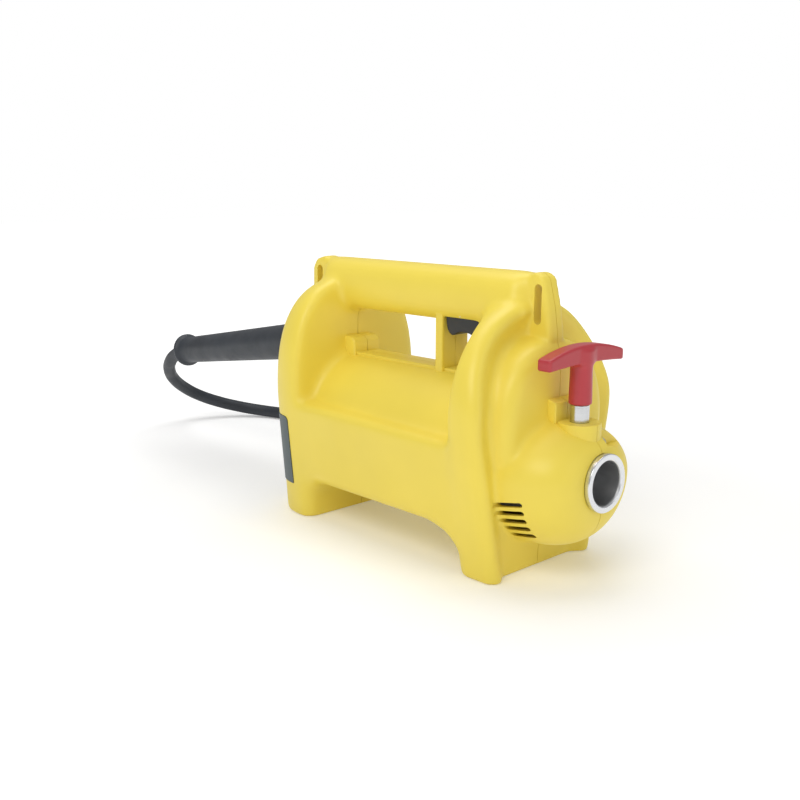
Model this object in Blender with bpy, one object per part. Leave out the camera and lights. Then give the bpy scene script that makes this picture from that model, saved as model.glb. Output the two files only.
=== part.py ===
"""Portable electric drive unit of a concrete vibrator.

Frame: metres, +Z up, +X towards the coupling nose, Z = 0 on the floor under the feet,
Y = 0 on the parting plane of the two housing halves. Run with
    blender --background --python part.py
"""
import math

import bmesh
import bpy
from mathutils import Matrix, Vector

# ---------------------------------------------------------------- driving dimensions
GAP = 0.0003                # clearance left between neighbouring pieces
WALL = 0.0035               # moulded shell thickness
ROUND_SEGMENTS = 24         # facets around a turned piece

HEIGHT = 0.220              # floor to the top of the handle
REAR_X = -0.135             # rear face of the housing
FRONT_X = 0.132             # front face of the feet
AXIS_Z = 0.0768             # motor and coupling axis
NOSE_X = 0.179              # front end of the nose dome
RING_X = 0.183              # front face of the coupling ring

REAR_HALF = 0.0700          # half-width of the rear arch at its widest, at the end of the hand opening
REAR_FOOT_HALF = 0.0600
REAR_WIDE_Z = 0.105
REAR_TOP_Z = 0.205
REAR_POWER = 2.6            # squareness of its crown
REAR_PLAN_POWER = 3.0       # squareness of its rear corners seen from above
FACE_HALF = 0.0500          # half-width of the flat rear face, at its widest and at the feet
FACE_FOOT_HALF = 0.0410
FACE_WIDE_Z = 0.100
FACE_TOP_Z = 0.2045
FRONT_HALF = 0.0800         # half-width of the front arch at its widest
FRONT_FOOT_HALF = 0.0580
FRONT_WIDE_Z = 0.118
FRONT_TOP_Z = 0.202
ARCH_EDGE = 0.010           # rounding of the arches' outer edges
ARCH_FRONT_X = 0.1305       # front face of the front arch, below its lean
FRONT_LEAN = (0.0115, 0.125, 0.181)    # how far the front face leans back, and between which heights
REAR_LEAN = (0.0155, 0.172, 0.184)     # the same for the rear face, above the cable boot
RING_STEP = 0.0003          # least step between an arch's rings where the lean uses up its depth

FACE_FRONT_X = -0.108       # where the flat-faced core of the rear arch ends
FRONT_BAND_X = 0.102        # rear edge of the front arch
WINDOW_REAR_X = -0.083      # rear and front ends of the hand opening
WINDOW_FRONT_X = 0.0745
WINDOW_HALF = 0.010         # half-thickness of the walls at the ends of the hand opening
SILL_Z = 0.140              # top of the motor hump, bottom of the hand opening
LEDGE_Z = 0.098             # top edge of the flat side panels
BELLY_Z = 0.033             # underside between the feet
REAR_FOOT_X = -0.080        # inner faces of the feet
FRONT_FOOT_X = 0.098

HANDLE_BOTTOM = 0.177
HANDLE_HALF = 0.0190
HANDLE_X = (-0.119, 0.119)
FIN_HALF = 0.0085           # half-thickness of the strap-eye fins
STRAP_SLOT_Z = (0.183, 0.212)
STRAP_SLOTS_X = ((0.120, 0.1265), (-0.1275, -0.120))

COWL_CENTRE_Z = 0.110       # raised centre of the front face, a superellipse
COWL_SIDE = 0.058
COWL_RISE = 0.064
COWL_RINGS = ((0.110, 1.0), (0.127, 1.0), (0.133, 0.93), (0.1365, 0.82), (0.1385, 0.62))    # station, scale

DOME_SIDE = 0.0560          # half-width, rise and drop of the nose dome at its base
DOME_RISE = 0.0410
DOME_DROP = 0.0550
DOME_BASE_X = 0.119
DOME_LENGTH = 0.0625
DOME_POWER = 2.85
DOME_SEGMENTS = 24

PIN_X = 0.157               # axis of the coupling lock
BOSS_Z = 0.117              # flat top of the lock boss
BOSS_RADIUS = 0.0155
WEDGE = [(0.128, 0.112), (0.146, 0.112), (0.146, 0.1283), (0.128, 0.1345)]    # block behind the lock, (x, z)
WEDGE_HALF = 0.0105
BUSH_RADIUS = 0.0067        # steel bush of the lock
BUSH_TOP = 0.1295
STEM_RADIUS = 0.0083        # red lock handle
T_HALF = 0.042
T_TOP = 0.1725

ROCKER_X = (0.0355, 0.0705) # switch rocker under the handle
ROCKER_HALF = 0.0125
ROCKER_PIVOT = (0.0530, 0.0, 0.1840)
ROCKER_PIN = 0.0015
ROCKER_TILT = math.radians(4.5)    # half of the rocker's travel

POST_X = (0.0265, 0.0345)   # post between the hand opening and the switch opening
POST_HALF = 0.015
LUG = [(-0.092, 0.130), (-0.0705, 0.130), (-0.0705, 0.1475), (-0.0745, 0.1510), (-0.092, 0.1515)]    # (x, z)
SILL_STRIP_X = (-0.110, 0.100)     # raised strip along the top of the motor hump
STRIP_HALF = 0.012          # half-width of the lug and of the strip

SLEEVE_RADIUS = 0.0205      # aluminium coupling sleeve
SLEEVE_REAR_X = 0.145
RING_RADIUS = 0.0212
BORE_RADIUS = 0.0160
BORE_NECK = 0.0118

BOOT_ROOT = Vector((-0.123, 0.0, 0.1458))    # cable boot, from inside the rear wall
BOOT_DROOP = math.radians(9.2)
BOOT_DIRECTION = (-math.cos(BOOT_DROOP), 0.0, -math.sin(BOOT_DROOP))
BOOT_LENGTH = 0.248
BOOT_RADII = (0.0176, 0.0136)    # its taper, from the wall to its end
BOOT_COLLAR = 0.0170
BOOT_BORE = 0.0072
BOOT_FLANGE = 0.0205        # collar inside the wall
CORD_RADIUS = 0.00675
CLAMP_SCREW = 0.0016

COIL_CENTRE = (-0.070, 0.192, 0.0)    # the rest of the lead, coiled behind the unit
COIL_INNER = 0.0612
COIL_OUTER = 0.0888
COIL_TOP = 0.0275
COIL_EDGE = 0.006
RUN_ROUTE = [               # centreline from the boot's end to the coil
    (-0.3681, 0.0000, 0.1062), (-0.3990, 0.0026, 0.0960), (-0.4270, 0.0115, 0.0801),
    (-0.4496, 0.0276, 0.0621), (-0.4635, 0.0510, 0.0440), (-0.4665, 0.0794, 0.0277),
    (-0.4560, 0.1082, 0.0160), (-0.4350, 0.1329, 0.0092), (-0.4071, 0.1490, 0.0070),
    (-0.3749, 0.1562, 0.0069), (-0.3419, 0.1560, 0.0069), (-0.3094, 0.1500, 0.0069),
    (-0.2777, 0.1403, 0.0069), (-0.2465, 0.1295, 0.0069), (-0.2150, 0.1195, 0.0069),
    (-0.1840, 0.1125, 0.0069), (-0.1520, 0.1095, 0.0069), (-0.1200, 0.1095, 0.0069),
]
TAIL_ROUTE = [
    (-0.1190, 0.2738, 0.0198), (-0.1350, 0.2748, 0.0192), (-0.1500, 0.2755, 0.0187),
    (-0.1647, 0.2760, 0.0185),
]
PLUG_BACK = (-0.1650, 0.2760, 0.0185)    # where the lead enters the plug
PLUG_RADIUS = 0.0183
PLUG_PIN = 0.0024
PLUG_PIN_Y = (-0.0095, 0.0095)

# ---------------------------------------------------------------- scene and materials
for old in list(bpy.data.objects):
    bpy.data.objects.remove(old, do_unlink=True)

COLLECTION = bpy.context.scene.collection
MATERIAL_VALUES = {
    # name: (colour, roughness, metallic)
    "yellow_shell": ((0.83, 0.66, 0.05), 0.45, 0.0),
    "grey_plastic": ((0.10, 0.13, 0.14), 0.55, 0.0),
    "black_plastic": ((0.015, 0.016, 0.018), 0.45, 0.0),
    "black_rubber": ((0.02, 0.024, 0.03), 0.5, 0.0),
    "red_plastic": ((0.50, 0.05, 0.06), 0.4, 0.0),
    "bright_steel": ((0.72, 0.73, 0.75), 0.2, 1.0),
    "aluminium": ((0.80, 0.81, 0.83), 0.28, 1.0),
    "lamination": ((0.22, 0.22, 0.24), 0.5, 0.9),
    "copper": ((0.72, 0.30, 0.12), 0.3, 1.0),
    "carbon": ((0.03, 0.03, 0.032), 0.7, 0.0),
    "white_plastic": ((0.75, 0.75, 0.70), 0.5, 0.0),
    "foam": ((0.07, 0.07, 0.075), 0.95, 0.0),
}


def make_material(name):
    colour, roughness, metallic = MATERIAL_VALUES[name]
    material = bpy.data.materials.new(name)
    material.use_nodes = True
    shader = material.node_tree.nodes["Principled BSDF"]
    shader.inputs["Base Color"].default_value = (*colour, 1.0)
    shader.inputs["Roughness"].default_value = roughness
    shader.inputs["Metallic"].default_value = metallic
    return material


MATERIALS = {name: make_material(name) for name in MATERIAL_VALUES}


def empty(name, location, parent=None):
    """An empty that carries a group of pieces; a joint's empty sits on its axis."""
    holder = bpy.data.objects.new(name, None)
    COLLECTION.objects.link(holder)
    holder.parent = parent
    holder.matrix_world = Matrix.Translation(location)
    return holder


def put(name, bm, material, parent=None, location=(0.0, 0.0, 0.0), smooth=True, merge=1e-6):
    """Write a bmesh, given in world coordinates, as an object with its origin at location."""
    if merge:
        bmesh.ops.remove_doubles(bm, verts=bm.verts, dist=merge)
    bmesh.ops.recalc_face_normals(bm, faces=bm.faces)
    bm.transform(Matrix.Translation(-Vector(location)))
    mesh = bpy.data.meshes.new(name)
    bm.to_mesh(mesh)
    bm.free()
    if smooth:
        mesh.shade_smooth()
        mesh.set_sharp_from_angle(angle=math.radians(35))
    mesh.materials.append(MATERIALS[material])
    piece = bpy.data.objects.new(name, mesh)
    COLLECTION.objects.link(piece)
    if parent is not None:
        piece.parent = parent
        piece.matrix_parent_inverse = parent.matrix_world.inverted()
    piece.location = location
    return piece


# ---------------------------------------------------------------- shape helpers
def cap_in_strips(bm, ring):
    """Close a ring that is symmetric about its middle point with strips across it."""
    last = len(ring) - 1
    for i in range(last // 2):
        corners = [ring[i], ring[i + 1], ring[last - i - 1], ring[last - i]]
        bm.faces.new(list(dict.fromkeys(corners)))


def loft(sections, strip_start=False):
    """Closed solid through rings of points; every section has the same count."""
    bm = bmesh.new()
    rings = [[bm.verts.new(point) for point in section] for section in sections]
    count = len(rings[0])
    for ring, following in zip(rings, rings[1:]):
        for i in range(count):
            j = (i + 1) % count
            bm.faces.new((ring[i], ring[j], following[j], following[i]))
    if strip_start:
        cap_in_strips(bm, rings[0])
    else:
        bm.faces.new(list(reversed(rings[0])))
    bm.faces.new(rings[-1])
    return bm


def prism(outline, low, high, axis):
    """Extrude a closed outline between two values of one axis ('X', 'Y' or 'Z')."""
    place = {
        "X": lambda p, q, w: (w, p, q),
        "Y": lambda p, q, w: (p, w, q),
        "Z": lambda p, q, w: (p, q, w),
    }[axis]
    return loft([[place(p, q, w) for p, q in outline] for w in (low, high)])


def block(low, high):
    """Axis-aligned box between two corners."""
    outline = [(low[0], low[1]), (high[0], low[1]), (high[0], high[1]), (low[0], high[1])]
    return prism(outline, low[2], high[2], "Z")


def turned(profile, centre, direction=(1.0, 0.0, 0.0), segments=ROUND_SEGMENTS):
    """Revolve a closed (along, radius) profile about direction through centre."""
    bm = bmesh.new()
    verts = [bm.verts.new((along, 0.0, radius)) for along, radius in profile]
    pairs = list(zip(range(len(profile)), list(range(1, len(profile))) + [0]))
    edges = [bm.edges.new((verts[a], verts[b])) for a, b in pairs if profile[a][1] + profile[b][1] > 0]
    bmesh.ops.spin(bm, geom=verts + edges, cent=(0, 0, 0), axis=(1, 0, 0),
                   angle=math.tau, steps=segments, use_merge=False)
    bmesh.ops.remove_doubles(bm, verts=bm.verts, dist=1e-6)
    bmesh.ops.dissolve_degenerate(bm, dist=1e-7, edges=bm.edges)
    turn = Vector((1, 0, 0)).rotation_difference(Vector(direction)).to_matrix().to_4x4()
    bm.transform(Matrix.Translation(centre) @ turn)
    bmesh.ops.recalc_face_normals(bm, faces=bm.faces)
    return bm


def tube(x0, x1, outer, inner, centre=(0.0, 0.0, AXIS_Z), direction=(1, 0, 0), segments=ROUND_SEGMENTS):
    """Plain ring between two stations along direction; inner = 0 makes a rod."""
    return turned([(x0, inner), (x1, inner), (x1, outer), (x0, outer)], centre, direction, segments)


def superellipse(half_a, half_b, power, count, centre=(0.0, 0.0)):
    points = []
    for i in range(count):
        angle = math.tau * i / count
        c, s = math.cos(angle), math.sin(angle)
        reach = (abs(c) ** power + abs(s) ** power) ** (-1.0 / power)
        points.append((centre[0] + half_a * reach * c, centre[1] + half_b * reach * s))
    return points


def scratch(name, bm):
    """A helper object for a Boolean, never built. Its faces are triangles, so none is bent."""
    bmesh.ops.remove_doubles(bm, verts=bm.verts, dist=1e-6)
    bmesh.ops.recalc_face_normals(bm, faces=bm.faces)
    bmesh.ops.triangulate(bm, faces=bm.faces)
    mesh = bpy.data.meshes.new(name)
    bm.to_mesh(mesh)
    bm.free()
    helper = bpy.data.objects.new(name, mesh)
    COLLECTION.objects.link(helper)
    helper.hide_render = True
    helper.display_type = "WIRE"
    return helper


def combine(base, tools, operation):
    """Apply one Boolean per tool to base, then drop the tools. The exact solver leaves open
    edges where the lofted shells graze each other, and every tool here is closed, so the
    manifold solver is used."""
    for tool in tools:
        modifier = base.modifiers.new("cut", "BOOLEAN")
        modifier.operation = operation
        modifier.solver = "MANIFOLD"
        modifier.object = tool
    bpy.context.view_layer.update()
    graph = bpy.context.evaluated_depsgraph_get()
    result = bpy.data.meshes.new_from_object(base.evaluated_get(graph), depsgraph=graph)
    base.modifiers.clear()
    base.data = result
    for tool in tools:
        bpy.data.objects.remove(tool, do_unlink=True)
    return base


def cut_piece(name, bm, tools, material, parent=None, operation="DIFFERENCE"):
    """A piece made from one solid and a list of cutters, kept at world coordinates."""
    base = combine(scratch(name + "_stock", bm), [scratch(name + "_tool", tool) for tool in tools], operation)
    cleaned = bmesh.new()
    cleaned.from_mesh(base.data)
    bpy.data.objects.remove(base, do_unlink=True)
    bmesh.ops.dissolve_limit(cleaned, angle_limit=math.radians(0.5), verts=cleaned.verts, edges=cleaned.edges)
    bmesh.ops.triangulate(cleaned, faces=cleaned.faces, ngon_method="EAR_CLIP")
    return put(name, cleaned, material, parent)


# ---------------------------------------------------------------- housing shells
BELOW = -0.006              # the lofts run below the floor, then one cut makes the feet flat


def arch_outline(foot, widest, wide_z, top_z, inset):
    """Arch seen along X: nearly straight legs under half an ellipse."""
    half = widest - inset
    foot_half = foot - inset
    legs = [(foot_half, BELOW), (foot_half + 0.42 * (half - foot_half), 0.42 * wide_z), (half, wide_z)]
    rise = top_z - inset - wide_z
    steps = 14
    crown = [(half * math.cos(math.pi * i / steps), wide_z + rise * math.sin(math.pi * i / steps))
             for i in range(1, steps)]
    return legs + crown + [(-y, z) for y, z in reversed(legs)]


def lean_at(z, lean):
    """How far an arch's outer face has leaned inward at height z."""
    depth, low, high = lean
    share = min(1.0, max(0.0, (z - low) / (high - low)))
    return depth * share * share * (3 - 2 * share)


def arch(outer_x, inner_x, dims, lean, inset):
    """Arch slab from its rounded outer end to its plain inner end; inset > 0 gives the cavity."""
    foot, widest, wide_z, top_z = dims
    inward = 1.0 if inner_x > outer_x else -1.0
    depth = abs(inner_x - outer_x) - inset
    rings = []
    for step, degrees in enumerate((0, 30, 60, 90)):
        turn = math.radians(degrees)
        rounded = inset + ARCH_EDGE * (1 - math.cos(turn))
        outline = arch_outline(foot, widest, wide_z, top_z, inset + ARCH_EDGE * (1 - math.sin(turn)))
        # where the lean uses up the depth, the rings stay in order a step apart
        limit = depth - RING_STEP * (4 - step)
        rings.append([(outer_x + inward * min(rounded + lean_at(z, lean), limit), y, z) for y, z in outline])
    outline = arch_outline(foot, widest, wide_z, top_z, inset)
    rings.append([(inner_x - inward * inset, y, z) for y, z in outline])
    return loft(rings, strip_start=True)


FACE_DIMS = (FACE_FOOT_HALF, FACE_HALF, FACE_WIDE_Z, FACE_TOP_Z)
FRONT_DIMS = (FRONT_FOOT_HALF, FRONT_HALF, FRONT_WIDE_Z, FRONT_TOP_Z)
REAR_STATIONS = (0.0, 0.25, 0.45, 0.62, 0.76, 0.87, 0.95, 0.99)    # shares of the rear arch's depth


def rear_face(inset):
    """Flat-faced core of the rear arch, which carries the boot and the filter."""
    return arch(REAR_X, FACE_FRONT_X, FACE_DIMS, REAR_LEAN, inset)


def rear_crown(inset, inner_x=WINDOW_REAR_X):
    """Rear arch with large round corners: full width at the hand opening, closing in to the rear."""
    depth = WINDOW_REAR_X - REAR_X - inset
    steps = 14
    rings = []
    for share in reversed(REAR_STATIONS):
        reach = (1.0 - share ** REAR_PLAN_POWER) ** (1.0 / REAR_PLAN_POWER)
        half, foot = (REAR_HALF - inset) * reach, (REAR_FOOT_HALF - inset) * reach
        rise = (REAR_TOP_Z - REAR_WIDE_Z - inset) * reach
        legs = [(foot, BELOW), (foot + 0.42 * (half - foot), 0.42 * REAR_WIDE_Z), (half, REAR_WIDE_Z)]
        crown = superellipse(half, rise, REAR_POWER, 2 * steps, (0.0, REAR_WIDE_Z))[1:steps]
        outline = legs + crown + [(-y, z) for y, z in reversed(legs)]
        station = WINDOW_REAR_X - share * depth
        if not share:
            station = inner_x if inner_x > WINDOW_REAR_X else WINDOW_REAR_X - inset
        rings.append([(station, y, z) for y, z in outline])
    return loft(rings, strip_start=True)


def front_arch(inset):
    return arch(ARCH_FRONT_X, FRONT_BAND_X, FRONT_DIMS, FRONT_LEAN, inset)


def body_outline(foot, ledge_half, hump_half, inset):
    """Lower body seen along X: flat flank, soft ledge, then the round motor hump."""
    hump_rise = SILL_Z - inset - AXIS_Z
    hump = []
    for degrees in (28, 40, 52, 66, 80):
        angle = math.radians(degrees)
        hump.append(((hump_half - inset) * math.cos(angle), AXIS_Z + hump_rise * math.sin(angle)))
    flank = [(foot - inset, BELOW), (ledge_half - inset, LEDGE_Z - 0.004),
             (ledge_half - 0.004 - inset, LEDGE_Z + 0.004 - 0.4 * inset)]
    side = flank + hump
    return side + [(-y, z) for y, z in reversed(side)]


BODY_ENDS = (               # station, then half-widths at the foot, the ledge and the hump
    (-0.100, 0.0595, 0.0690, 0.0545),
    (FRONT_X - 0.018, 0.0572, 0.0755, 0.0680),
)
BODY_STATIONS = 6           # the flanks twist, so they are made in short lengths


def body(inset):
    """Lower body between the arches; it widens towards the front."""
    rings = []
    for i in range(BODY_STATIONS + 1):
        share = i / BODY_STATIONS
        x, foot, ledge, hump = (a + share * (b - a) for a, b in zip(*BODY_ENDS))
        rings.append([(x, y, z) for y, z in body_outline(foot, ledge, hump, inset)])
    return loft(rings)


def funnel(band_x, window_x, dims, inset):
    """Sloping wall from the full width of an arch in to the end of the hand opening."""
    foot, widest, wide_z, top_z = dims
    wide = arch_outline(foot - 0.002, widest - 0.002, wide_z, top_z - 0.002, inset)
    narrow = [(y * (WINDOW_HALF - 0.6 * inset) / widest, z) for y, z in wide]
    inward = 1.0 if window_x > band_x else -1.0
    stations = ((band_x - inward * 0.012, wide), (band_x, wide), (window_x - inward * inset, narrow))
    return loft([[(x, y, min(z, top_z - 0.004 - inset)) for y, z in outline] for x, outline in stations])


def handle(inset):
    middle = 0.5 * (HEIGHT + HANDLE_BOTTOM)
    ring = superellipse(HANDLE_HALF - inset, 0.5 * (HEIGHT - HANDLE_BOTTOM) - inset, 2.6, 18, (0.0, middle))
    ends = (HANDLE_X[0] + inset, HANDLE_X[1] - inset)
    return loft([[(x, y, z) for y, z in ring] for x in ends])


def cowl(inset):
    """Raised centre of the front face, around the upper half of the dome."""
    rings = []
    for x, scale in COWL_RINGS:
        ring = superellipse(COWL_SIDE * scale - inset, COWL_RISE * scale - inset, 2.2, 22, (0.0, COWL_CENTRE_Z))
        rings.append([(x - inset, y, z) for y, z in ring])
    return loft(rings)


def dome(inset):
    """Round nose: wide and deep below the coupling axis, lower above it."""
    rings = []
    for x in (DOME_BASE_X, 0.133, 0.145, 0.155, 0.163, 0.170, 0.175, NOSE_X):
        reach = (1.0 - ((x - DOME_BASE_X) / DOME_LENGTH) ** DOME_POWER) ** (1.0 / DOME_POWER)
        ring = []
        for i in range(DOME_SEGMENTS):
            angle = math.tau * (i + 0.5) / DOME_SEGMENTS
            height = DOME_RISE if math.sin(angle) > 0 else DOME_DROP
            ring.append((x - inset, (DOME_SIDE * reach - inset) * math.cos(angle),
                         AXIS_Z + (height * reach - inset) * math.sin(angle)))
        rings.append(ring)
    return loft(rings)


FRONT_FIN = [(0.100, 0.190), (0.108, 0.2195), (0.121, HEIGHT), (0.127, 0.2165), (0.1325, 0.195),
             (0.1358, 0.172), (0.124, 0.165)]
REAR_FIN = [(-0.096, 0.190), (-0.104, 0.2195), (-0.119, HEIGHT), (-0.129, 0.2175), (-0.1342, 0.210),
            (-0.1352, 0.172), (-0.124, 0.165)]


def belly_cutter(grow):
    """Space between the feet, open through both sides; grow > 0 keeps the cavity a wall away."""
    top = BELLY_Z + grow
    outline = [(REAR_FOOT_X - grow, BELOW * 2), (REAR_FOOT_X - grow, top - 0.012),
               (REAR_FOOT_X + 0.004 - grow, top - 0.004), (REAR_FOOT_X + 0.013 - grow, top),
               (FRONT_FOOT_X - 0.034 + grow, top), (FRONT_FOOT_X - 0.016 + grow, top - 0.005),
               (FRONT_FOOT_X - 0.006 + grow, top - 0.015), (FRONT_FOOT_X + grow, BELOW * 2)]
    return prism(outline, -0.1, 0.1, "Y")


def outer_form():
    """Outside of the closed housing, both halves together."""
    stock = scratch("housing_stock", body(0.0))
    solids = [
        rear_crown(0.0), rear_face(0.0), front_arch(0.0),
        funnel(FRONT_BAND_X, WINDOW_FRONT_X, FRONT_DIMS, 0.0),
        handle(0.0), cowl(0.0), dome(0.0),
        prism(FRONT_FIN, -FIN_HALF, FIN_HALF, "Y"),
        prism(REAR_FIN, -FIN_HALF, FIN_HALF, "Y"),
        tube(0.090, BOSS_Z, BOSS_RADIUS, 0.0, (PIN_X, 0, 0), (0, 0, 1)),
        prism(WEDGE, -WEDGE_HALF, WEDGE_HALF, "Y"),
        block((POST_X[0], -POST_HALF, SILL_Z - 0.010), (POST_X[1], POST_HALF, HANDLE_BOTTOM + 0.010)),
        prism(LUG, -STRIP_HALF, STRIP_HALF, "Y"),
        block((SILL_STRIP_X[0], -STRIP_HALF, SILL_Z - 0.010), (SILL_STRIP_X[1], STRIP_HALF, SILL_Z + 0.0008)),
    ]
    return combine(stock, [scratch("housing_add", solid) for solid in solids], "UNION")


def cavity_form():
    """Inside of the closed housing."""
    stock = scratch("cavity_stock", body(WALL))
    solids = [
        rear_crown(WALL), rear_face(WALL), front_arch(WALL),
        funnel(FRONT_BAND_X, WINDOW_FRONT_X, FRONT_DIMS, WALL),
        handle(WALL), cowl(WALL), dome(WALL),
    ]
    combine(stock, [scratch("cavity_add", solid) for solid in solids], "UNION")
    floor = block((-0.2, -0.1, -0.1), (0.3, 0.1, WALL))
    cutters = [scratch("cavity_belly", belly_cutter(WALL)), scratch("cavity_floor", floor)]
    return combine(stock, cutters, "DIFFERENCE")


# ---------------------------------------------------------------- openings cut in the shells
VENT_X = (0.1275, 0.150)    # five air slots low on each side of the nose
VENT_COUNT = 5
VENT_TOP_Z = 0.0625
VENT_PITCH = 0.0065
VENT_HEIGHT = 0.0036
VENT_REACH = 0.0575
BOOT_HOLE = 0.0174
FILTER_Z = (0.0285, 0.0880)    # grey filter cover wrapped round the rear corners
FILTER_FRONT_X = -0.0970
FILTER_HALF = 0.038         # half-width of the air opening behind it
FILTER_DEPTH = 0.0020       # recess of the shell under the cover
FILTER_PROUD = 0.0006       # the cover stands this much proud of the shell
LOUVRE_ROWS = 6
LOUVRE_PITCH = 0.0068
LOUVRE_HEIGHT = 0.0032
LOUVRE_Y = (0.0015, 0.0335)

SCREW_PLACES = [            # (x, z) of the screws that join the halves
    (-0.124, 0.176), (-0.124, 0.016), (-0.092, 0.016), (0.114, 0.016), (0.107, 0.176),
    (0.163, 0.0445), (-0.060, 0.188), (0.0295, 0.188), (0.169, 0.1020),
]
SCREW_SEGMENTS = 8
SCREW_RADIUS = 0.0021
SCREW_REACH = 0.012         # how far a screw goes into the right half
SCREW_BOSS = 0.0052
SCREW_HEAD = 0.0040
HEAD_Y = 0.009              # underside of a screw's head, on the left half
NOSE_POCKET = ((0.1635, 0.0978), (0.1752, 0.14))    # well of the topmost nose screw, (x, z) corners

STATOR_X = (-0.029, 0.031)  # motor
STATOR_RADIUS = 0.0385
BRACKET_RADIUS = (0.0370, 0.0385)      # rear and front bearing brackets
RIB_TOP = 0.1345
RIB_SEGMENTS = 16
MOTOR_RIBS = [              # (x from, x to, radius of the piece it holds)
    (-0.0955, -0.0930, BRACKET_RADIUS[0]), (-0.020, -0.0175, STATOR_RADIUS),
    (0.0195, 0.022, STATOR_RADIUS), (0.0745, 0.0765, STATOR_RADIUS),
    (0.0963, 0.0992, BRACKET_RADIUS[1]), (0.1510, 0.1535, SLEEVE_RADIUS),
]


def screw_tools(boss_radius, low, high):
    return [tube(low, high, boss_radius, 0.0, (x, 0, z), (0, 1, 0), SCREW_SEGMENTS) for x, z in SCREW_PLACES]


def motor_ribs():
    """Walls inside the shells that hold the stator, the bearing brackets and the coupling sleeve."""
    ribs = []
    for low, high, radius in MOTOR_RIBS:
        hole = (radius + GAP) / math.cos(math.pi / RIB_SEGMENTS)
        rib = scratch("rib", block((low, -0.1, -0.1), (high, 0.1, RIB_TOP)))
        combine(rib, [scratch("rib_hole", tube(-0.2, 0.2, hole, 0.0, segments=RIB_SEGMENTS))], "DIFFERENCE")
        ribs.append(rib)
    return ribs


def boot_axis_point(along):
    return BOOT_ROOT + along * Vector(BOOT_DIRECTION)


def shell_cutters():
    """Openings through the closed housing, made before it is parted."""
    cutters = [
        belly_cutter(0.0),
        block((-0.2, -0.1, -0.1), (0.3, 0.1, 0.0)),
        tube(0.10, 0.20, SLEEVE_RADIUS + GAP, 0.0),
        tube(0.08, 0.15, BUSH_RADIUS + GAP, 0.0, (PIN_X, 0, 0), (0, 0, 1), 20),
        tube(0.003, 0.05, BOOT_HOLE, 0.0, tuple(BOOT_ROOT), BOOT_DIRECTION, 24),
        block((ROCKER_X[0] - 0.0006, -ROCKER_HALF - 0.0005, HANDLE_BOTTOM - 0.004),
              (ROCKER_X[1] + 0.0006, ROCKER_HALF + 0.0005, ROCKER_PIVOT[2] + 0.004)),
        tube(-0.0148, 0.0148, ROCKER_PIN + GAP, 0.0, ROCKER_PIVOT, (0, 1, 0), 8),
        block((REAR_X - 0.02, -FILTER_HALF, FILTER_Z[0] + 0.006),
              (REAR_X + 0.012, FILTER_HALF, FILTER_Z[1] - 0.006)),
    ]
    for low, high in STRAP_SLOTS_X:
        cutters.append(block((low, -0.03, STRAP_SLOT_Z[0]), (high, 0.03, STRAP_SLOT_Z[1])))
    for i in range(VENT_COUNT):
        z = VENT_TOP_Z - i * VENT_PITCH
        cutters.append(block((VENT_X[0], -VENT_REACH, z - VENT_HEIGHT / 2),
                             (VENT_X[1], VENT_REACH, z + VENT_HEIGHT / 2)))
    return cutters


def housing_halves():
    """The two moulded shells, parted at Y = 0, with bosses for the joining screws."""
    outside = outer_form()
    bosses = screw_tools(SCREW_BOSS, -0.1, 0.1)
    inside = cavity_form()
    combine(inside, [scratch("boss_core", boss) for boss in bosses] + motor_ribs(), "DIFFERENCE")
    combine(outside, [inside], "DIFFERENCE")
    combine(outside, [scratch("opening", cutter) for cutter in shell_cutters()], "DIFFERENCE")
    recess = scratch("filter_recess", block((REAR_X - 0.02, -0.1, FILTER_Z[0] - GAP),
                                            (FILTER_FRONT_X + GAP, 0.1, FILTER_Z[1] + GAP)))
    combine(recess, [scratch("recess_floor", form(FILTER_DEPTH)) for form in (rear_crown, rear_face)], "DIFFERENCE")
    combine(outside, [recess], "DIFFERENCE")
    left = outside.copy()
    left.data = outside.data.copy()
    COLLECTION.objects.link(left)
    right_keep = scratch("right_keep", block((-0.3, -0.2, -0.1), (0.4, -GAP / 2, 0.4)))
    left_keep = scratch("left_keep", block((-0.3, GAP / 2, -0.1), (0.4, 0.2, 0.4)))
    combine(outside, [right_keep], "INTERSECT")
    combine(left, [left_keep], "INTERSECT")
    pilot = screw_tools(SCREW_RADIUS + GAP, -SCREW_REACH - GAP, 0.1)
    combine(outside, [scratch("pilot", tool) for tool in pilot], "DIFFERENCE")
    pilot = screw_tools(SCREW_RADIUS + GAP, -SCREW_REACH - GAP, 0.1)
    heads = screw_tools(SCREW_HEAD + GAP, HEAD_Y - GAP, 0.1)
    (low_x, low_z), (high_x, high_z) = NOSE_POCKET
    nose_pocket = block((low_x, HEAD_Y, low_z), (high_x, 0.05, high_z))
    combine(left, [scratch("head_pocket", tool) for tool in pilot + heads + [nose_pocket]], "DIFFERENCE")
    for half, name in ((outside, "right_housing"), (left, "left_housing")):
        cleaned = bmesh.new()
        cleaned.from_mesh(half.data)
        bpy.data.objects.remove(half, do_unlink=True)
        bmesh.ops.dissolve_limit(cleaned, angle_limit=math.radians(0.1), verts=cleaned.verts,
                                 edges=cleaned.edges)
        bmesh.ops.triangulate(cleaned, faces=cleaned.faces, ngon_method="EAR_CLIP")
        put(name, cleaned, "yellow_shell", HOUSING, merge=0)


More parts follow.
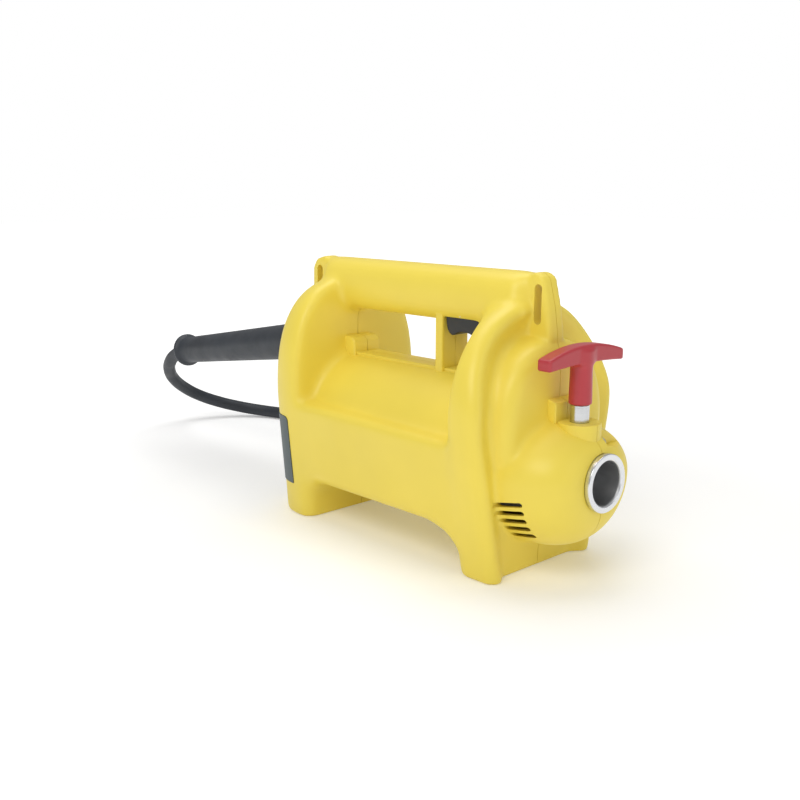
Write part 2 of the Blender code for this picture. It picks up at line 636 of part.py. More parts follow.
def filter_pieces():
    """Snap-on intake cover with louvres, and the foam mat behind it."""
    cover = combine(scratch("cover_stock", rear_crown(-FILTER_PROUD)),
                    [scratch("cover_face", rear_face(-FILTER_PROUD))], "UNION")
    keep = block((REAR_X - 0.02, -0.1, FILTER_Z[0]), (FILTER_FRONT_X, 0.1, FILTER_Z[1]))
    combine(cover, [scratch("cover_keep", keep)], "INTERSECT")
    tools = [rear_crown(FILTER_DEPTH - GAP, 0.0), rear_face(FILTER_DEPTH - GAP)]
    near, far = LOUVRE_Y
    for row in range(LOUVRE_ROWS):
        z = FILTER_Z[0] + 0.0125 + LOUVRE_PITCH * row
        for low, high in ((-far, -near), (near, far)):
            tools.append(block((REAR_X - 0.02, low, z), (REAR_X + 0.010, high, z + LOUVRE_HEIGHT)))
    combine(cover, [scratch("louvre", tool) for tool in tools], "DIFFERENCE")
    bm = bmesh.new()
    bm.from_mesh(cover.data)
    bpy.data.objects.remove(cover, do_unlink=True)
    bmesh.ops.triangulate(bm, faces=bm.faces)
    put("filter_cover", bm, "grey_plastic", FILTER)
    foam = block((REAR_X + 0.0036, -FILTER_HALF + 0.001, FILTER_Z[0] + 0.007),
                 (REAR_X + 0.0105, FILTER_HALF - 0.001, FILTER_Z[1] - 0.007))
    put("filter_foam", foam, "foam", HOUSING, smooth=False)


def housing_screws():
    """Joining screws, heads on the left half, threads in the right half's bosses."""
    for number, (x, z) in enumerate(SCREW_PLACES, 1):
        profile = [(-SCREW_REACH, 0.0), (-SCREW_REACH, SCREW_RADIUS), (HEAD_Y, SCREW_RADIUS),
                   (HEAD_Y, SCREW_HEAD), (HEAD_Y + 0.0016, SCREW_HEAD), (HEAD_Y + 0.0028, 0.0026),
                   (HEAD_Y + 0.0028, 0.0)]
        screw = turned(profile, (x, 0, z), (0, 1, 0), SCREW_SEGMENTS)
        put(f"housing_screw_{number}", screw, "bright_steel", HOUSING)


# ---------------------------------------------------------------- motor
BORE_OF_STATOR = 0.0235
ROTOR_RADIUS = 0.0226
ROTOR_SLOTS = 12
SHAFT_RADIUS = 0.0055
REAR_JOURNAL = 0.0045
SLOT_RADIUS = 0.0345
SOCKET_RADIUS = 0.0100
SOCKET_SQUARE = 0.0042      # half the width of the socket's square hole
FAN_BLADES = 9
REAR_BEARING_X = (-0.1010, -0.0930)
FRONT_BEARING_X = (0.0980, 0.1070)


def sector(inner, outer, start, end, x0, x1, steps=10):
    """Closed slice of a ring between two angles (in the YZ plane), extruded along X."""
    angles = [start + (end - start) * i / steps for i in range(steps + 1)]
    outline = [(outer * math.cos(a), AXIS_Z + outer * math.sin(a)) for a in angles]
    outline += [(inner * math.cos(a), AXIS_Z + inner * math.sin(a)) for a in reversed(angles)]
    return prism(outline, x0, x1, "X")


def stator():
    """Laminated two-pole stator with a field coil around each pole."""
    core = tube(STATOR_X[0], STATOR_X[1], STATOR_RADIUS, BORE_OF_STATOR)
    slots = [sector(0.015, SLOT_RADIUS, math.pi * side - math.radians(38), math.pi * side + math.radians(38),
                    -0.1, 0.1) for side in (0, 1)]
    cut_piece("stator_core", core, slots, "lamination", HOUSING)
    reach = math.radians(86)
    for name, middle in (("upper_field_coil", math.pi / 2), ("lower_field_coil", -math.pi / 2)):
        coil = sector(BORE_OF_STATOR + 0.0012, SLOT_RADIUS - 0.0008, middle - reach, middle + reach,
                      STATOR_X[0] - 0.013, STATOR_X[1] + 0.013, 14)
        pole = sector(0.010, 0.05, middle - math.radians(53), middle + math.radians(53),
                      STATOR_X[0] - 0.0012, STATOR_X[1] + 0.0012, 12)
        cut_piece(name, coil, [pole], "copper", HOUSING)


def armature():
    """Rotating set: shaft, laminated core, end windings, commutator, fan and drive socket."""
    shaft = [(-0.1035, 0.0), (-0.1035, REAR_JOURNAL), (-0.0905, REAR_JOURNAL), (-0.0905, SHAFT_RADIUS),
             (0.1150, SHAFT_RADIUS), (0.1150, 0.0050), (0.1320, 0.0050), (0.1320, 0.0)]
    put("armature_shaft", turned(shaft, (0, 0, AXIS_Z), segments=20), "bright_steel", SPIN)
    bore = SHAFT_RADIUS + GAP / 2
    outline = []
    for i in range(ROTOR_SLOTS):
        middle = math.tau * i / ROTOR_SLOTS
        for offset, radius in ((-0.20, ROTOR_RADIUS), (0.20, ROTOR_RADIUS), (0.215, 0.0165), (0.308, 0.0165)):
            outline.append((radius * math.cos(middle + offset), AXIS_Z + radius * math.sin(middle + offset)))
    core = prism(outline, STATOR_X[0] + 0.001, STATOR_X[1] - 0.001, "X")
    cut_piece("armature_core", core, [tube(-0.1, 0.1, bore, 0.0, segments=20)], "lamination", SPIN)
    for name, low, high in (("rear_winding", -0.0475, STATOR_X[0] + 0.0007),
                            ("front_winding", STATOR_X[1] - 0.0007, 0.0475)):
        profile = [(low, 0.009), (low + 0.003, bore), (high - 0.0008, bore), (high, 0.009), (high, 0.0185),
                   (high - 0.003, 0.0212), (low + 0.005, 0.0205), (low, 0.016)]
        put(name, turned(profile, (0, 0, AXIS_Z), segments=16), "copper", SPIN)
    put("commutator", tube(-0.078, -0.0505, 0.0150, bore, segments=24), "copper", SPIN)
    fan_blades()
    socket = tube(0.1185, 0.1500, SOCKET_RADIUS, 0.0, segments=24)
    square = block((0.1360, -SOCKET_SQUARE, AXIS_Z - SOCKET_SQUARE),
                   (0.2, SOCKET_SQUARE, AXIS_Z + SOCKET_SQUARE))
    cut_piece("drive_socket", socket, [tube(0.1, 0.1330, 0.0050 + GAP / 2, 0.0, segments=20), square],
              "bright_steel", SPIN)


def fan_blades():
    """Radial cooling fan in one moulding: hub, back plate and blades."""
    hub = turned([(0.0560, SHAFT_RADIUS + GAP / 2), (0.0710, SHAFT_RADIUS + GAP / 2), (0.0710, 0.011),
                  (0.0585, 0.013), (0.0585, 0.0370), (0.0560, 0.0370)], (0, 0, AXIS_Z))
    blades = []
    for i in range(FAN_BLADES):
        blade = block((0.0580, -0.0008, 0.0103), (0.0700, 0.0008, 0.0362))
        blade.transform(Matrix.Translation((0, 0, AXIS_Z)) @ Matrix.Rotation(math.tau * i / FAN_BLADES, 4, "X"))
        blades.append(blade)
    cut_piece("cooling_fan", hub, blades, "black_plastic", SPIN, "UNION")


def bearings():
    """Front and rear ball bearings, each an outer and an inner race, in their brackets."""
    for word, span, inner, outer in (
            ("rear", REAR_BEARING_X, (0.0068, REAR_JOURNAL + GAP / 2), (0.0110, 0.0088)),
            ("front", FRONT_BEARING_X, (0.0085, SHAFT_RADIUS + GAP / 2), (0.0150, 0.0120))):
        put(f"{word}_bearing_inner", tube(*span, *inner, segments=16), "bright_steel", SPIN)
        put(f"{word}_bearing_outer", tube(*span, *outer, segments=16), "bright_steel", HOUSING)
    rear_plate = [(-0.1030, 0.0088), (-0.1015, 0.0088), (-0.1015, 0.0113), (-0.0925, 0.0113),
                  (-0.0925, BRACKET_RADIUS[0]), (-0.0960, BRACKET_RADIUS[0]), (-0.0960, 0.0140),
                  (-0.1030, 0.0140)]
    front_plate = [(0.0960, 0.0180), (0.0975, 0.0153), (0.1075, 0.0153), (0.1075, 0.0120),
                   (0.1095, 0.0120), (0.1095, 0.0185), (0.1000, 0.0185), (0.1000, BRACKET_RADIUS[1]),
                   (0.0960, BRACKET_RADIUS[1])]
    for name, plate, radius in (("rear_bearing_bracket", rear_plate, 0.0255),
                                ("front_bearing_bracket", front_plate, 0.0285)):
        windows = []
        for i in range(4):
            angle = math.pi / 4 + i * math.pi / 2
            centre = (0, radius * math.cos(angle), AXIS_Z + radius * math.sin(angle))
            windows.append(tube(-0.2, 0.2, 0.0055, 0.0, centre, segments=6))
        cut_piece(name, turned(plate, (0, 0, AXIS_Z), segments=16), windows, "aluminium", HOUSING)
    put("fan_baffle", tube(0.0745, 0.0765, STATOR_RADIUS, 0.0190), "black_plastic", HOUSING)


BRUSH_X = (-0.0690, -0.0590)
BRUSH_Y = (0.0153, 0.0290)  # inner and outer ends of a brush
HOLDER_END = 0.0412         # floor of a brush holder


def coil_spring(name, start, direction, length, radius, wire, turns, material, parent):
    """Compression spring swept along direction from start, with closed ends."""
    axis = Vector(direction)
    side = axis.orthogonal().normalized()
    across = axis.cross(side)
    steps = 8
    sides = 4
    rings = []
    for i in range(turns * steps + 1):
        share = i / (turns * steps)
        angle = math.tau * turns * share
        outward = side * math.cos(angle) + across * math.sin(angle)
        centre = Vector(start) + axis * (wire + share * (length - 2 * wire)) + outward * radius
        ring = []
        for k in range(sides):
            turn = math.tau * k / sides
            ring.append(centre + outward * (wire * math.cos(turn)) + axis * (wire * math.sin(turn)))
        rings.append(ring)
    return put(name, loft(rings), material, parent)


def brushes():
    """Two carbon brushes in tube holders, each pressed on the commutator by a spring."""
    middle_x = sum(BRUSH_X) / 2
    for side, word in ((-1, "right"), (1, "left")):
        def span(low, high):
            return sorted((side * low, side * high))
        near, far = span(BRUSH_Y[0] + 0.0022, 0.0430)
        holder = block((BRUSH_X[0] - 0.0022, near, AXIS_Z - 0.0062),
                       (BRUSH_X[1] + 0.0022, far, AXIS_Z + 0.0062))
        near, far = span(0.0, HOLDER_END)
        hollow = block((BRUSH_X[0] - GAP, near, AXIS_Z - 0.0043), (BRUSH_X[1] + GAP, far, AXIS_Z + 0.0043))
        cut_piece(f"{word}_brush_holder", holder, [hollow], "black_plastic", HOUSING)
        near, far = span(*BRUSH_Y)
        brush = block((BRUSH_X[0], near, AXIS_Z - 0.0040), (BRUSH_X[1], far, AXIS_Z + 0.0040))
        put(f"{word}_carbon_brush", brush, "carbon", RIGHT_BRUSH if side < 0 else LEFT_BRUSH, smooth=False)
        coil_spring(f"{word}_brush_spring", (middle_x, side * (BRUSH_Y[1] + GAP), AXIS_Z), (0, side, 0),
                    HOLDER_END - BRUSH_Y[1] - 2 * GAP, 0.0030, 0.0005, 5, "bright_steel", HOUSING)


# ---------------------------------------------------------------- coupling and its lock
LOCK_TIP = 0.0040           # radius of the lock pin
PIN_TOP = 0.1440
PIN_COLLAR = (0.1040, 0.1065)    # collar that the lock spring presses on
BUSH_LIP_Z = 0.1265         # underside of the bush's top, the spring's other seat


def coupling():
    """Aluminium sleeve that takes the hose coupling, and the sprung pin that locks it."""
    profile = [(SLEEVE_REAR_X, BORE_NECK), (0.1510, BORE_NECK), (0.1540, BORE_RADIUS),
               (RING_X - 0.0010, BORE_RADIUS), (RING_X, BORE_RADIUS + 0.0010), (RING_X, RING_RADIUS - 0.0010),
               (RING_X - 0.0010, RING_RADIUS), (NOSE_X + GAP, RING_RADIUS), (NOSE_X + GAP, SLEEVE_RADIUS),
               (SLEEVE_REAR_X, SLEEVE_RADIUS)]
    pin_hole = tube(AXIS_Z + 0.008, 0.11, LOCK_TIP + GAP, 0.0, (PIN_X, 0, 0), (0, 0, 1), 16)
    cut_piece("coupling_sleeve", turned(profile, (0, 0, AXIS_Z), segments=30), [pin_hole], "aluminium", HOUSING)
    bush = [(0.1010, LOCK_TIP + GAP), (0.1035, LOCK_TIP + GAP), (0.1035, 0.0056), (BUSH_LIP_Z, 0.0056),
            (BUSH_LIP_Z, LOCK_TIP + GAP), (BUSH_TOP, LOCK_TIP + GAP), (BUSH_TOP, BUSH_RADIUS - 0.0008),
            (BUSH_TOP - 0.0010, BUSH_RADIUS), (0.1010, BUSH_RADIUS)]
    put("lock_bush", turned(bush, (PIN_X, 0, 0), (0, 0, 1), 20), "bright_steel", HOUSING)
    collar_low, collar_high = PIN_COLLAR
    pin = [(0.0885, 0.0), (0.0895, LOCK_TIP), (collar_low, LOCK_TIP), (collar_low, 0.0053),
           (collar_high, 0.0053), (collar_high, LOCK_TIP), (PIN_TOP, LOCK_TIP), (PIN_TOP, 0.0)]
    put("lock_pin", turned(pin, (PIN_X, 0, 0), (0, 0, 1), 16), "bright_steel", LOCK)
    coil_spring("lock_spring", (PIN_X, 0, collar_high + GAP), (0, 0, 1), BUSH_LIP_Z - collar_high - 2 * GAP,
                0.0049, 0.00045, 6, "bright_steel", HOUSING)
    lock_handle()


def lock_handle():
    """Red T-handle pressed on the pin: a crowned bar across a round stem."""
    steps = 8
    top, bottom = [], []
    for i in range(steps + 1):
        y = -T_HALF + 2 * T_HALF * i / steps
        bow = (y / T_HALF) ** 2
        top.append((y, T_TOP - 0.0070 * bow))
        bottom.append((y, T_TOP - 0.0130 - 0.0020 * bow))
    bar = prism(top + list(reversed(bottom)), PIN_X - 0.0060, PIN_X + 0.0060, "X")
    bmesh.ops.recalc_face_normals(bar, faces=bar.faces)
    sharp = [edge for edge in bar.edges if len(edge.link_faces) == 2 and edge.calc_face_angle() > 0.8]
    bmesh.ops.bevel(bar, geom=sharp, offset=0.0015, segments=2, affect="EDGES", profile=0.5)
    stem = turned([(BUSH_TOP + GAP, 0.0), (BUSH_TOP + GAP, STEM_RADIUS - 0.001),
                   (BUSH_TOP + 0.0015, STEM_RADIUS), (T_TOP - 0.0040, STEM_RADIUS - 0.0004),
                   (T_TOP - 0.0040, 0.0)], (PIN_X, 0, 0), (0, 0, 1), 20)
    bore = tube(0.12, PIN_TOP + GAP, LOCK_TIP + GAP, 0.0, (PIN_X, 0, 0), (0, 0, 1), 16)
    joined = combine(scratch("bar", bar), [scratch("stem", stem)], "UNION")
    bm = bmesh.new()
    bm.from_mesh(joined.data)
    bpy.data.objects.remove(joined, do_unlink=True)
    cut_piece("lock_handle", bm, [bore], "red_plastic", LOCK)


# ---------------------------------------------------------------- switch
def switch():
    """Rocker under the handle on its pin, and the switch body above it."""
    px, _, pz = ROCKER_PIVOT
    half = 0.5 * (ROCKER_X[1] - ROCKER_X[0]) - 0.0005
    side = [(half, 0.0005), (half, -0.0060), (0.0155, -0.0120), (0.0115, -0.0157), (0.0055, -0.0135)]
    outline = side + [(-x, z) for x, z in reversed(side)] + [(-0.006, 0.0036), (0.006, 0.0036)]
    rocker = prism(outline, -ROCKER_HALF, ROCKER_HALF, "Y")
    rocker.transform(Matrix.Translation(ROCKER_PIVOT) @ Matrix.Rotation(-ROCKER_TILT, 4, "Y"))
    hole = tube(-0.1, 0.1, ROCKER_PIN + GAP, 0.0, ROCKER_PIVOT, (0, 1, 0), 12)
    cut_piece("switch_rocker", rocker, [hole], "black_plastic", ROCKER)
    pin = tube(-0.0145, 0.0145, ROCKER_PIN, 0.0, ROCKER_PIVOT, (0, 1, 0), 8)
    put("rocker_pin", pin, "bright_steel", HOUSING)
    low, high = (px - 0.015, -0.0120, pz + 0.0047), (px + 0.015, 0.0120, pz + 0.0255)
    body_block = block(low, high)
    bmesh.ops.recalc_face_normals(body_block, faces=body_block.faces)
    bmesh.ops.bevel(body_block, geom=body_block.edges, offset=0.0008, segments=1, affect="EDGES")
    put("switch_body", body_block, "black_plastic", HOUSING)


# ---------------------------------------------------------------- cable entry and wiring
TERMINAL_X = -0.1190        # row of the mains terminals
TERMINAL_Y = 0.0300
TERMINAL_PITCH = 0.0060
WIRE_RADIUS = 0.0013
CLAMP_SCREW_Y = 0.0113      # clamp screws, either side of the lead


def sweep(name, points, radius, material, parent, sides=8):
    """Round bar through a list of points."""
    points = [Vector(point) for point in points]
    rings = []
    side = None
    for i, point in enumerate(points):
        along = (points[min(i + 1, len(points) - 1)] - points[max(i - 1, 0)]).normalized()
        side = along.orthogonal() if side is None else side - along * side.dot(along)
        side.normalize()
        across = along.cross(side)
        rings.append([point + side * (radius * math.cos(math.tau * k / sides))
                      + across * (radius * math.sin(math.tau * k / sides)) for k in range(sides)])
    return put(name, loft(rings), material, parent)


def smooth_route(route, spacing):
    """Points about spacing apart on the smooth curve through a route's own points."""
    points = [Vector(point) for point in route]
    ends = [2 * points[0] - points[1]] + points + [2 * points[-1] - points[-2]]
    fine = []
    for a, b, c, d in zip(ends, ends[1:], ends[2:], ends[3:]):
        for step in range(24):
            t = step / 24
            fine.append(0.5 * (2 * b + (c - a) * t + (2 * a - 5 * b + 4 * c - d) * t ** 2
                               + (3 * b - a - 3 * c + d) * t ** 3))
    fine.append(points[-1])
    length = sum((q - p).length for p, q in zip(fine, fine[1:]))
    count = max(2, round(length / spacing))
    picked = [fine[0]]
    run, target = 0.0, length / count
    for p, q in zip(fine, fine[1:]):
        step = (q - p).length
        while run + step >= target - 1e-9 and len(picked) < count:
            picked.append(p.lerp(q, (target - run) / step))
            target += length / count
        run += step
    return picked + [fine[-1]]


def cable_entry():
    """Rubber boot in the rear wall, the lead through it, and the clamp, terminals and wires inside."""
    profile = [(0.0008, BOOT_BORE), (BOOT_LENGTH, BOOT_BORE), (BOOT_LENGTH, BOOT_COLLAR - 0.0010),
               (BOOT_LENGTH - 0.0010, BOOT_COLLAR), (BOOT_LENGTH - 0.0050, BOOT_COLLAR),
               (BOOT_LENGTH - 0.0065, BOOT_RADII[1]), (0.0165, BOOT_RADII[0]), (0.0155, BOOT_HOLE - GAP),
               (0.0048, BOOT_HOLE - GAP), (0.0048, BOOT_FLANGE), (0.0008, BOOT_FLANGE)]
    put("cable_boot", turned(profile, tuple(BOOT_ROOT), BOOT_DIRECTION), "black_rubber", HOUSING)
    start, end = boot_axis_point(-0.0160), boot_axis_point(BOOT_LENGTH - 0.0030)
    sweep("cord_lead_in", [start.lerp(end, i / 4) for i in range(5)], CORD_RADIUS, "black_rubber", HOUSING, 10)
    clamp()
    terminal_low, terminal_high = (-0.1270, 0.0180, 0.1040), (-0.1110, 0.0420, 0.1200)
    holes = [tube(0.1165, 0.13, 0.0017, 0.0, (TERMINAL_X, TERMINAL_Y + step * TERMINAL_PITCH, 0), (0, 0, 1), 8)
             for step in (-1, 0, 1)]
    cut_piece("terminal_block", block(terminal_low, terminal_high), holes, "white_plastic", HOUSING)
    can = [(-0.0440, 0.0), (-0.0440, 0.0080), (-0.0430, 0.0090), (-0.0190, 0.0090), (-0.0180, 0.0080),
           (-0.0180, 0.0)]
    put("capacitor", turned(can, (-0.1170, 0, 0.1120), (0, 1, 0), 20), "aluminium", HOUSING)
    for name, side, colour in (("live_wire", 1, "black_rubber"), ("neutral_wire", -1, "white_plastic")):
        end_y, apart = TERMINAL_Y + side * TERMINAL_PITCH, side * 0.003
        route = [(TERMINAL_X, end_y, 0.1170), (TERMINAL_X, end_y, 0.1240), (-0.1170, end_y - 0.001, 0.1400),
                 (-0.1135, 0.0245 + apart, 0.1600), (-0.1110, 0.0120 + apart, 0.1800),
                 (-0.1060, 0.0050 + apart, 0.1940), (-0.0920, 0.0010 + apart, 0.2010),
                 (-0.0600, side * 0.004, 0.2030), (0.0000, side * 0.004, 0.2030),
                 (0.0375, side * 0.004, 0.2030)]
        sweep(name, smooth_route(route, 0.016), WIRE_RADIUS, colour, HOUSING, 5)


def clamp():
    """Strain-relief saddle over the lead just inside the boot, held by two screws on its base."""
    centre = boot_axis_point(-0.0100)
    turn = Matrix.Translation(centre) @ Matrix.Rotation(BOOT_DROOP, 4, "Y").inverted()
    for name, low, high in (("cord_clamp_base", -0.0125, -0.0004), ("cord_clamp_saddle", 0.0004, 0.0095)):
        piece = block((-0.0045, -0.0150, low), (0.0045, 0.0150, high))
        piece.transform(turn)
        passage = tube(-0.1, 0.1, CORD_RADIUS + GAP, 0.0, tuple(BOOT_ROOT), BOOT_DIRECTION, 12)
        drills = []
        for y in (-CLAMP_SCREW_Y, CLAMP_SCREW_Y):
            drill = tube(-0.0095, 0.1, CLAMP_SCREW + GAP, 0.0, (0, y, 0), (0, 0, 1), SCREW_SEGMENTS)
            drill.transform(turn)
            drills.append(drill)
        cut_piece(name, piece, [passage] + drills, "black_plastic", HOUSING)
    for number, y in enumerate((-CLAMP_SCREW_Y, CLAMP_SCREW_Y), 1):
        profile = [(-0.0090, 0.0), (-0.0090, CLAMP_SCREW), (0.0098, CLAMP_SCREW), (0.0098, 0.0030),
                   (0.0120, 0.0028), (0.0125, 0.0012), (0.0112, 0.0)]
        screw = turned(profile, (0, y, 0), (0, 0, 1), SCREW_SEGMENTS)
        screw.transform(turn)
        put(f"cord_clamp_screw_{number}", screw, "bright_steel", HOUSING)


# ---------------------------------------------------------------- free lead, coil and plug
def free_cord():
    """The lead from the boot's end to its coil and plug, lying on the floor behind the unit."""
    for name, route, spacing in (("cord_run", RUN_ROUTE, 0.027), ("cord_tail", TAIL_ROUTE, 0.015)):
        curve = bpy.data.curves.new(name, "CURVE")
        curve.dimensions = "3D"
        points = smooth_route(route, spacing)
        spline = curve.splines.new("POLY")
        spline.points.add(len(points) - 1)
        for knot, point in zip(spline.points, points):
            knot.co = (*point, 1.0)
        curve.bevel_depth = CORD_RADIUS
        curve.bevel_resolution = 2
        curve.use_fill_caps = True
        curve.render_resolution_u = 0
        curve.materials.append(MATERIALS["black_rubber"])
        lead = bpy.data.objects.new(name, curve)
        COLLECTION.objects.link(lead)
        lead.parent = HOUSING
    inner, outer, top, edge = COIL_INNER, COIL_OUTER, COIL_TOP, COIL_EDGE
    profile = [(edge, outer), (top - edge, outer), (top, outer - edge), (top, inner + edge),
               (top - edge, inner), (edge, inner), (0.0, inner + edge), (0.0, outer - edge)]
    put("cord_coil", turned(profile, COIL_CENTRE, (0, 0, 1), 28), "black_rubber", HOUSING)


def plug():
    """Two-pin mains plug lying on the floor, its pins pointing along -X."""
    x, y, z = PLUG_BACK
    profile = [(0.0, 0.0), (0.0, 0.0100), (0.0030, 0.0115), (0.0150, 0.0115), (0.0220, 0.0165),
               (0.0300, PLUG_RADIUS), (0.0470, PLUG_RADIUS), (0.0480, PLUG_RADIUS - 0.001),
               (0.0480, 0.0165), (0.0440, 0.0160), (0.0440, 0.0)]
    sockets = [tube(0.0340, 0.1, PLUG_PIN + GAP, 0.0, (x, y + side, z), (-1, 0, 0), 10)
               for side in PLUG_PIN_Y]
    cut_piece("plug_body", turned(profile, PLUG_BACK, (-1, 0, 0)), sockets, "black_rubber", HOUSING)
    for number, side in enumerate(PLUG_PIN_Y, 1):
        pin = [(0.0343, 0.0), (0.0343, PLUG_PIN), (0.0620, PLUG_PIN), (0.0630, PLUG_PIN - 0.0012),
               (0.0630, 0.0)]
        put(f"plug_pin_{number}", turned(pin, (x, y + side, z), (-1, 0, 0), 10), "bright_steel", HOUSING)


# ---------------------------------------------------------------- assembly
ROOT = empty("unit", (0.0, 0.0, 0.0))
HOUSING = empty("housing_group", (0.0, 0.0, 0.0), ROOT)
SPIN = empty("armature_axis", (0.0, 0.0, AXIS_Z), ROOT)
LOCK = empty("lock_axis", (PIN_X, 0.0, BUSH_TOP), ROOT)
ROCKER = empty("rocker_axis", ROCKER_PIVOT, ROOT)
FILTER = empty("filter_axis", (REAR_X, 0.0, 0.5 * (FILTER_Z[0] + FILTER_Z[1])), ROOT)
RIGHT_BRUSH = empty("right_brush_axis", (sum(BRUSH_X) / 2, -BRUSH_Y[0], AXIS_Z), ROOT)
LEFT_BRUSH = empty("left_brush_axis", (sum(BRUSH_X) / 2, BRUSH_Y[0], AXIS_Z), ROOT)

housing_halves()
housing_screws()
filter_pieces()
stator()
armature()
bearings()
brushes()
coupling()
switch()
cable_entry()
free_cord()
plug()

# the part's origin is under the middle of the unit without its boot and lead
ROOT.location.x = -0.5 * (REAR_X - FILTER_PROUD + RING_X)
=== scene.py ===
"""Looks of the concrete vibrator's drive unit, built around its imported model.

Metres, +Z up, +X towards the coupling nose. Shapes are worked out in the part's own working
frame, whose X starts at the part source's zero, and are moved once by OFFSET.
"""
import math

import bmesh
import bpy
import numpy as np
from mathutils import Matrix, Vector


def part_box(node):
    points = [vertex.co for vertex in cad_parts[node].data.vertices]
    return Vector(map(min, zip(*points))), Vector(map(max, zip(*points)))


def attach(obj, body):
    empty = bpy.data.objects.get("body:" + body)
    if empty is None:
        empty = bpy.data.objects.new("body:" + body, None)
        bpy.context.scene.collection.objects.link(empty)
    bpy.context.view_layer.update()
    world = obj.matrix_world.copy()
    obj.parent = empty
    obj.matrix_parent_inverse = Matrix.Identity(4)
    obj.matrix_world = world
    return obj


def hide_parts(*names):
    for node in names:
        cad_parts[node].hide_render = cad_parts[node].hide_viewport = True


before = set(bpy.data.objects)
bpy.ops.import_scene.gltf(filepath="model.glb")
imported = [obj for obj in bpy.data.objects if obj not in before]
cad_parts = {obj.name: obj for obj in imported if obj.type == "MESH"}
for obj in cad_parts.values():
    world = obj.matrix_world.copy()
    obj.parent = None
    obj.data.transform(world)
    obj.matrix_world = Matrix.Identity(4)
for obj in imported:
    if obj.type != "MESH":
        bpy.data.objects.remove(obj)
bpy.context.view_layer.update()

# ---------------------------------------------------------------- places shared with the part
RING_X = 0.183                     # front face of the coupling ring
OFFSET = Vector((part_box("coupling_sleeve")[1].x - RING_X, 0.0, 0.0))
AXIS_Z = 0.0768                    # motor and coupling axis
AXIS = (0.0, 0.0, AXIS_Z)
WALL = 0.0035
GAP = 0.0003
SEAM = 0.0005                      # visible line between the housing halves
HEIGHT = 0.220

REAR_X, FACE_FRONT_X, WINDOW_REAR_X = -0.135, -0.108, -0.083
WINDOW_FRONT_X, FRONT_BAND_X, ARCH_FRONT_X = 0.0745, 0.102, 0.1305
REAR_HALF, REAR_FOOT_HALF, REAR_WIDE_Z, REAR_RISE = 0.0700, 0.0600, 0.105, 0.100
REAR_POWER, REAR_PLAN_POWER = 2.6, 3.0       # squareness of the rear crown, and of its corners from above
FACE_HALF, FACE_FOOT_HALF, FACE_WIDE_Z, FACE_RISE = 0.0500, 0.0410, 0.100, 0.1045
FRONT_RADIUS, FRONT_CENTRE_Z, FRONT_FOOT_HALF = 0.0805, 0.1205, 0.0580
FRONT_LEAN = (0.0115, 0.125, 0.181)
REAR_LEAN = (0.0155, 0.172, 0.184)
LEDGE_Z, SILL_Z, BELLY_Z = 0.1000, 0.1400, 0.0330
REAR_FOOT_X, FRONT_FOOT_X = -0.080, 0.098
HANDLE_BOTTOM, HANDLE_HALF = 0.177, 0.0190
HANDLE_X = (-0.1120, 0.1120)
FIN_HALF = 0.0085
WINDOW_HALF = 0.010                # half-thickness of the walls at the ends of the hand opening
DOME_BASE_X, DOME_LENGTH, DOME_POWER = 0.119, 0.0625, 2.85
DOME_SIDE, DOME_RISE, DOME_DROP = 0.0560, 0.0410, 0.0550
NOSE_X = 0.179
PIN_X, BOSS_Z, BOSS_RADIUS, BUSH_RADIUS, BUSH_TOP = 0.157, 0.117, 0.0155, 0.0067, 0.1295
POST_X, POST_HALF = (0.0265, 0.0345), 0.015
SLEEVE_RADIUS, SLEEVE_REAR_X, RING_RADIUS = 0.0205, 0.145, 0.0212
BORE_RADIUS, BORE_NECK = 0.0160, 0.0118
ROCKER_X, ROCKER_HALF, ROCKER_PIVOT = (0.0355, 0.0705), 0.0125, (0.0530, 0.0, 0.1840)
ROCKER_TILT = math.radians(4.5)
FILTER_Z, FILTER_FRONT_X, FILTER_HALF = (0.0285, 0.0880), -0.0970, 0.038
FILTER_DEPTH, FILTER_PROUD = 0.0020, 0.0006
BOOT_ROOT, BOOT_DROOP, BOOT_LENGTH = Vector((-0.123, 0.0, 0.1458)), math.radians(9.2), 0.248
BOOT_DIRECTION = Vector((-math.cos(BOOT_DROOP), 0.0, -math.sin(BOOT_DROOP)))
CORD_RADIUS = 0.00675
VENT_X, VENT_TOP_Z, VENT_PITCH, VENT_HEIGHT = (0.1275, 0.150), 0.0625, 0.0065, 0.0036
VENT_REACH = (0.0590, 0.0570, 0.0540, 0.0495, 0.0435)       # half-width that each slot is cut to
VENT_TILT = math.radians(10.0)
SCREW_PLACES = [(-0.124, 0.176), (-0.124, 0.016), (-0.092, 0.016), (0.114, 0.016), (0.107, 0.176),
                (0.163, 0.0445), (-0.060, 0.188), (0.0295, 0.188), (0.169, 0.1020)]
PIN_PLACE = (PIN_X, 0.0, 0.0)
UP, ALONG, ACROSS = (0, 0, 1), (1, 0, 0), (0, 1, 0)
SCREW_BOSS, SCREW_HEAD, HEAD_Y = 0.0052, 0.0040, 0.009
FRONT_FIN = [(0.100, 0.190), (0.108, 0.2195), (0.121, HEIGHT), (0.127, 0.2165), (0.1325, 0.195),
             (0.1358, 0.172), (0.124, 0.165)]
REAR_FIN = [(-0.096, 0.190), (-0.104, 0.2195), (-0.119, HEIGHT), (-0.129, 0.2175), (-0.1342, 0.210),
            (-0.1352, 0.172), (-0.124, 0.165)]


# ---------------------------------------------------------------- camera, floor and light
SKY_LIGHT = 0.42                   # brightness of the sky as a light; the camera sees it white
FLOOR_GLOW, GLOW_REACH = (0.14, 0.78), (0.30, 1.5)      # the floor turns white away from the part


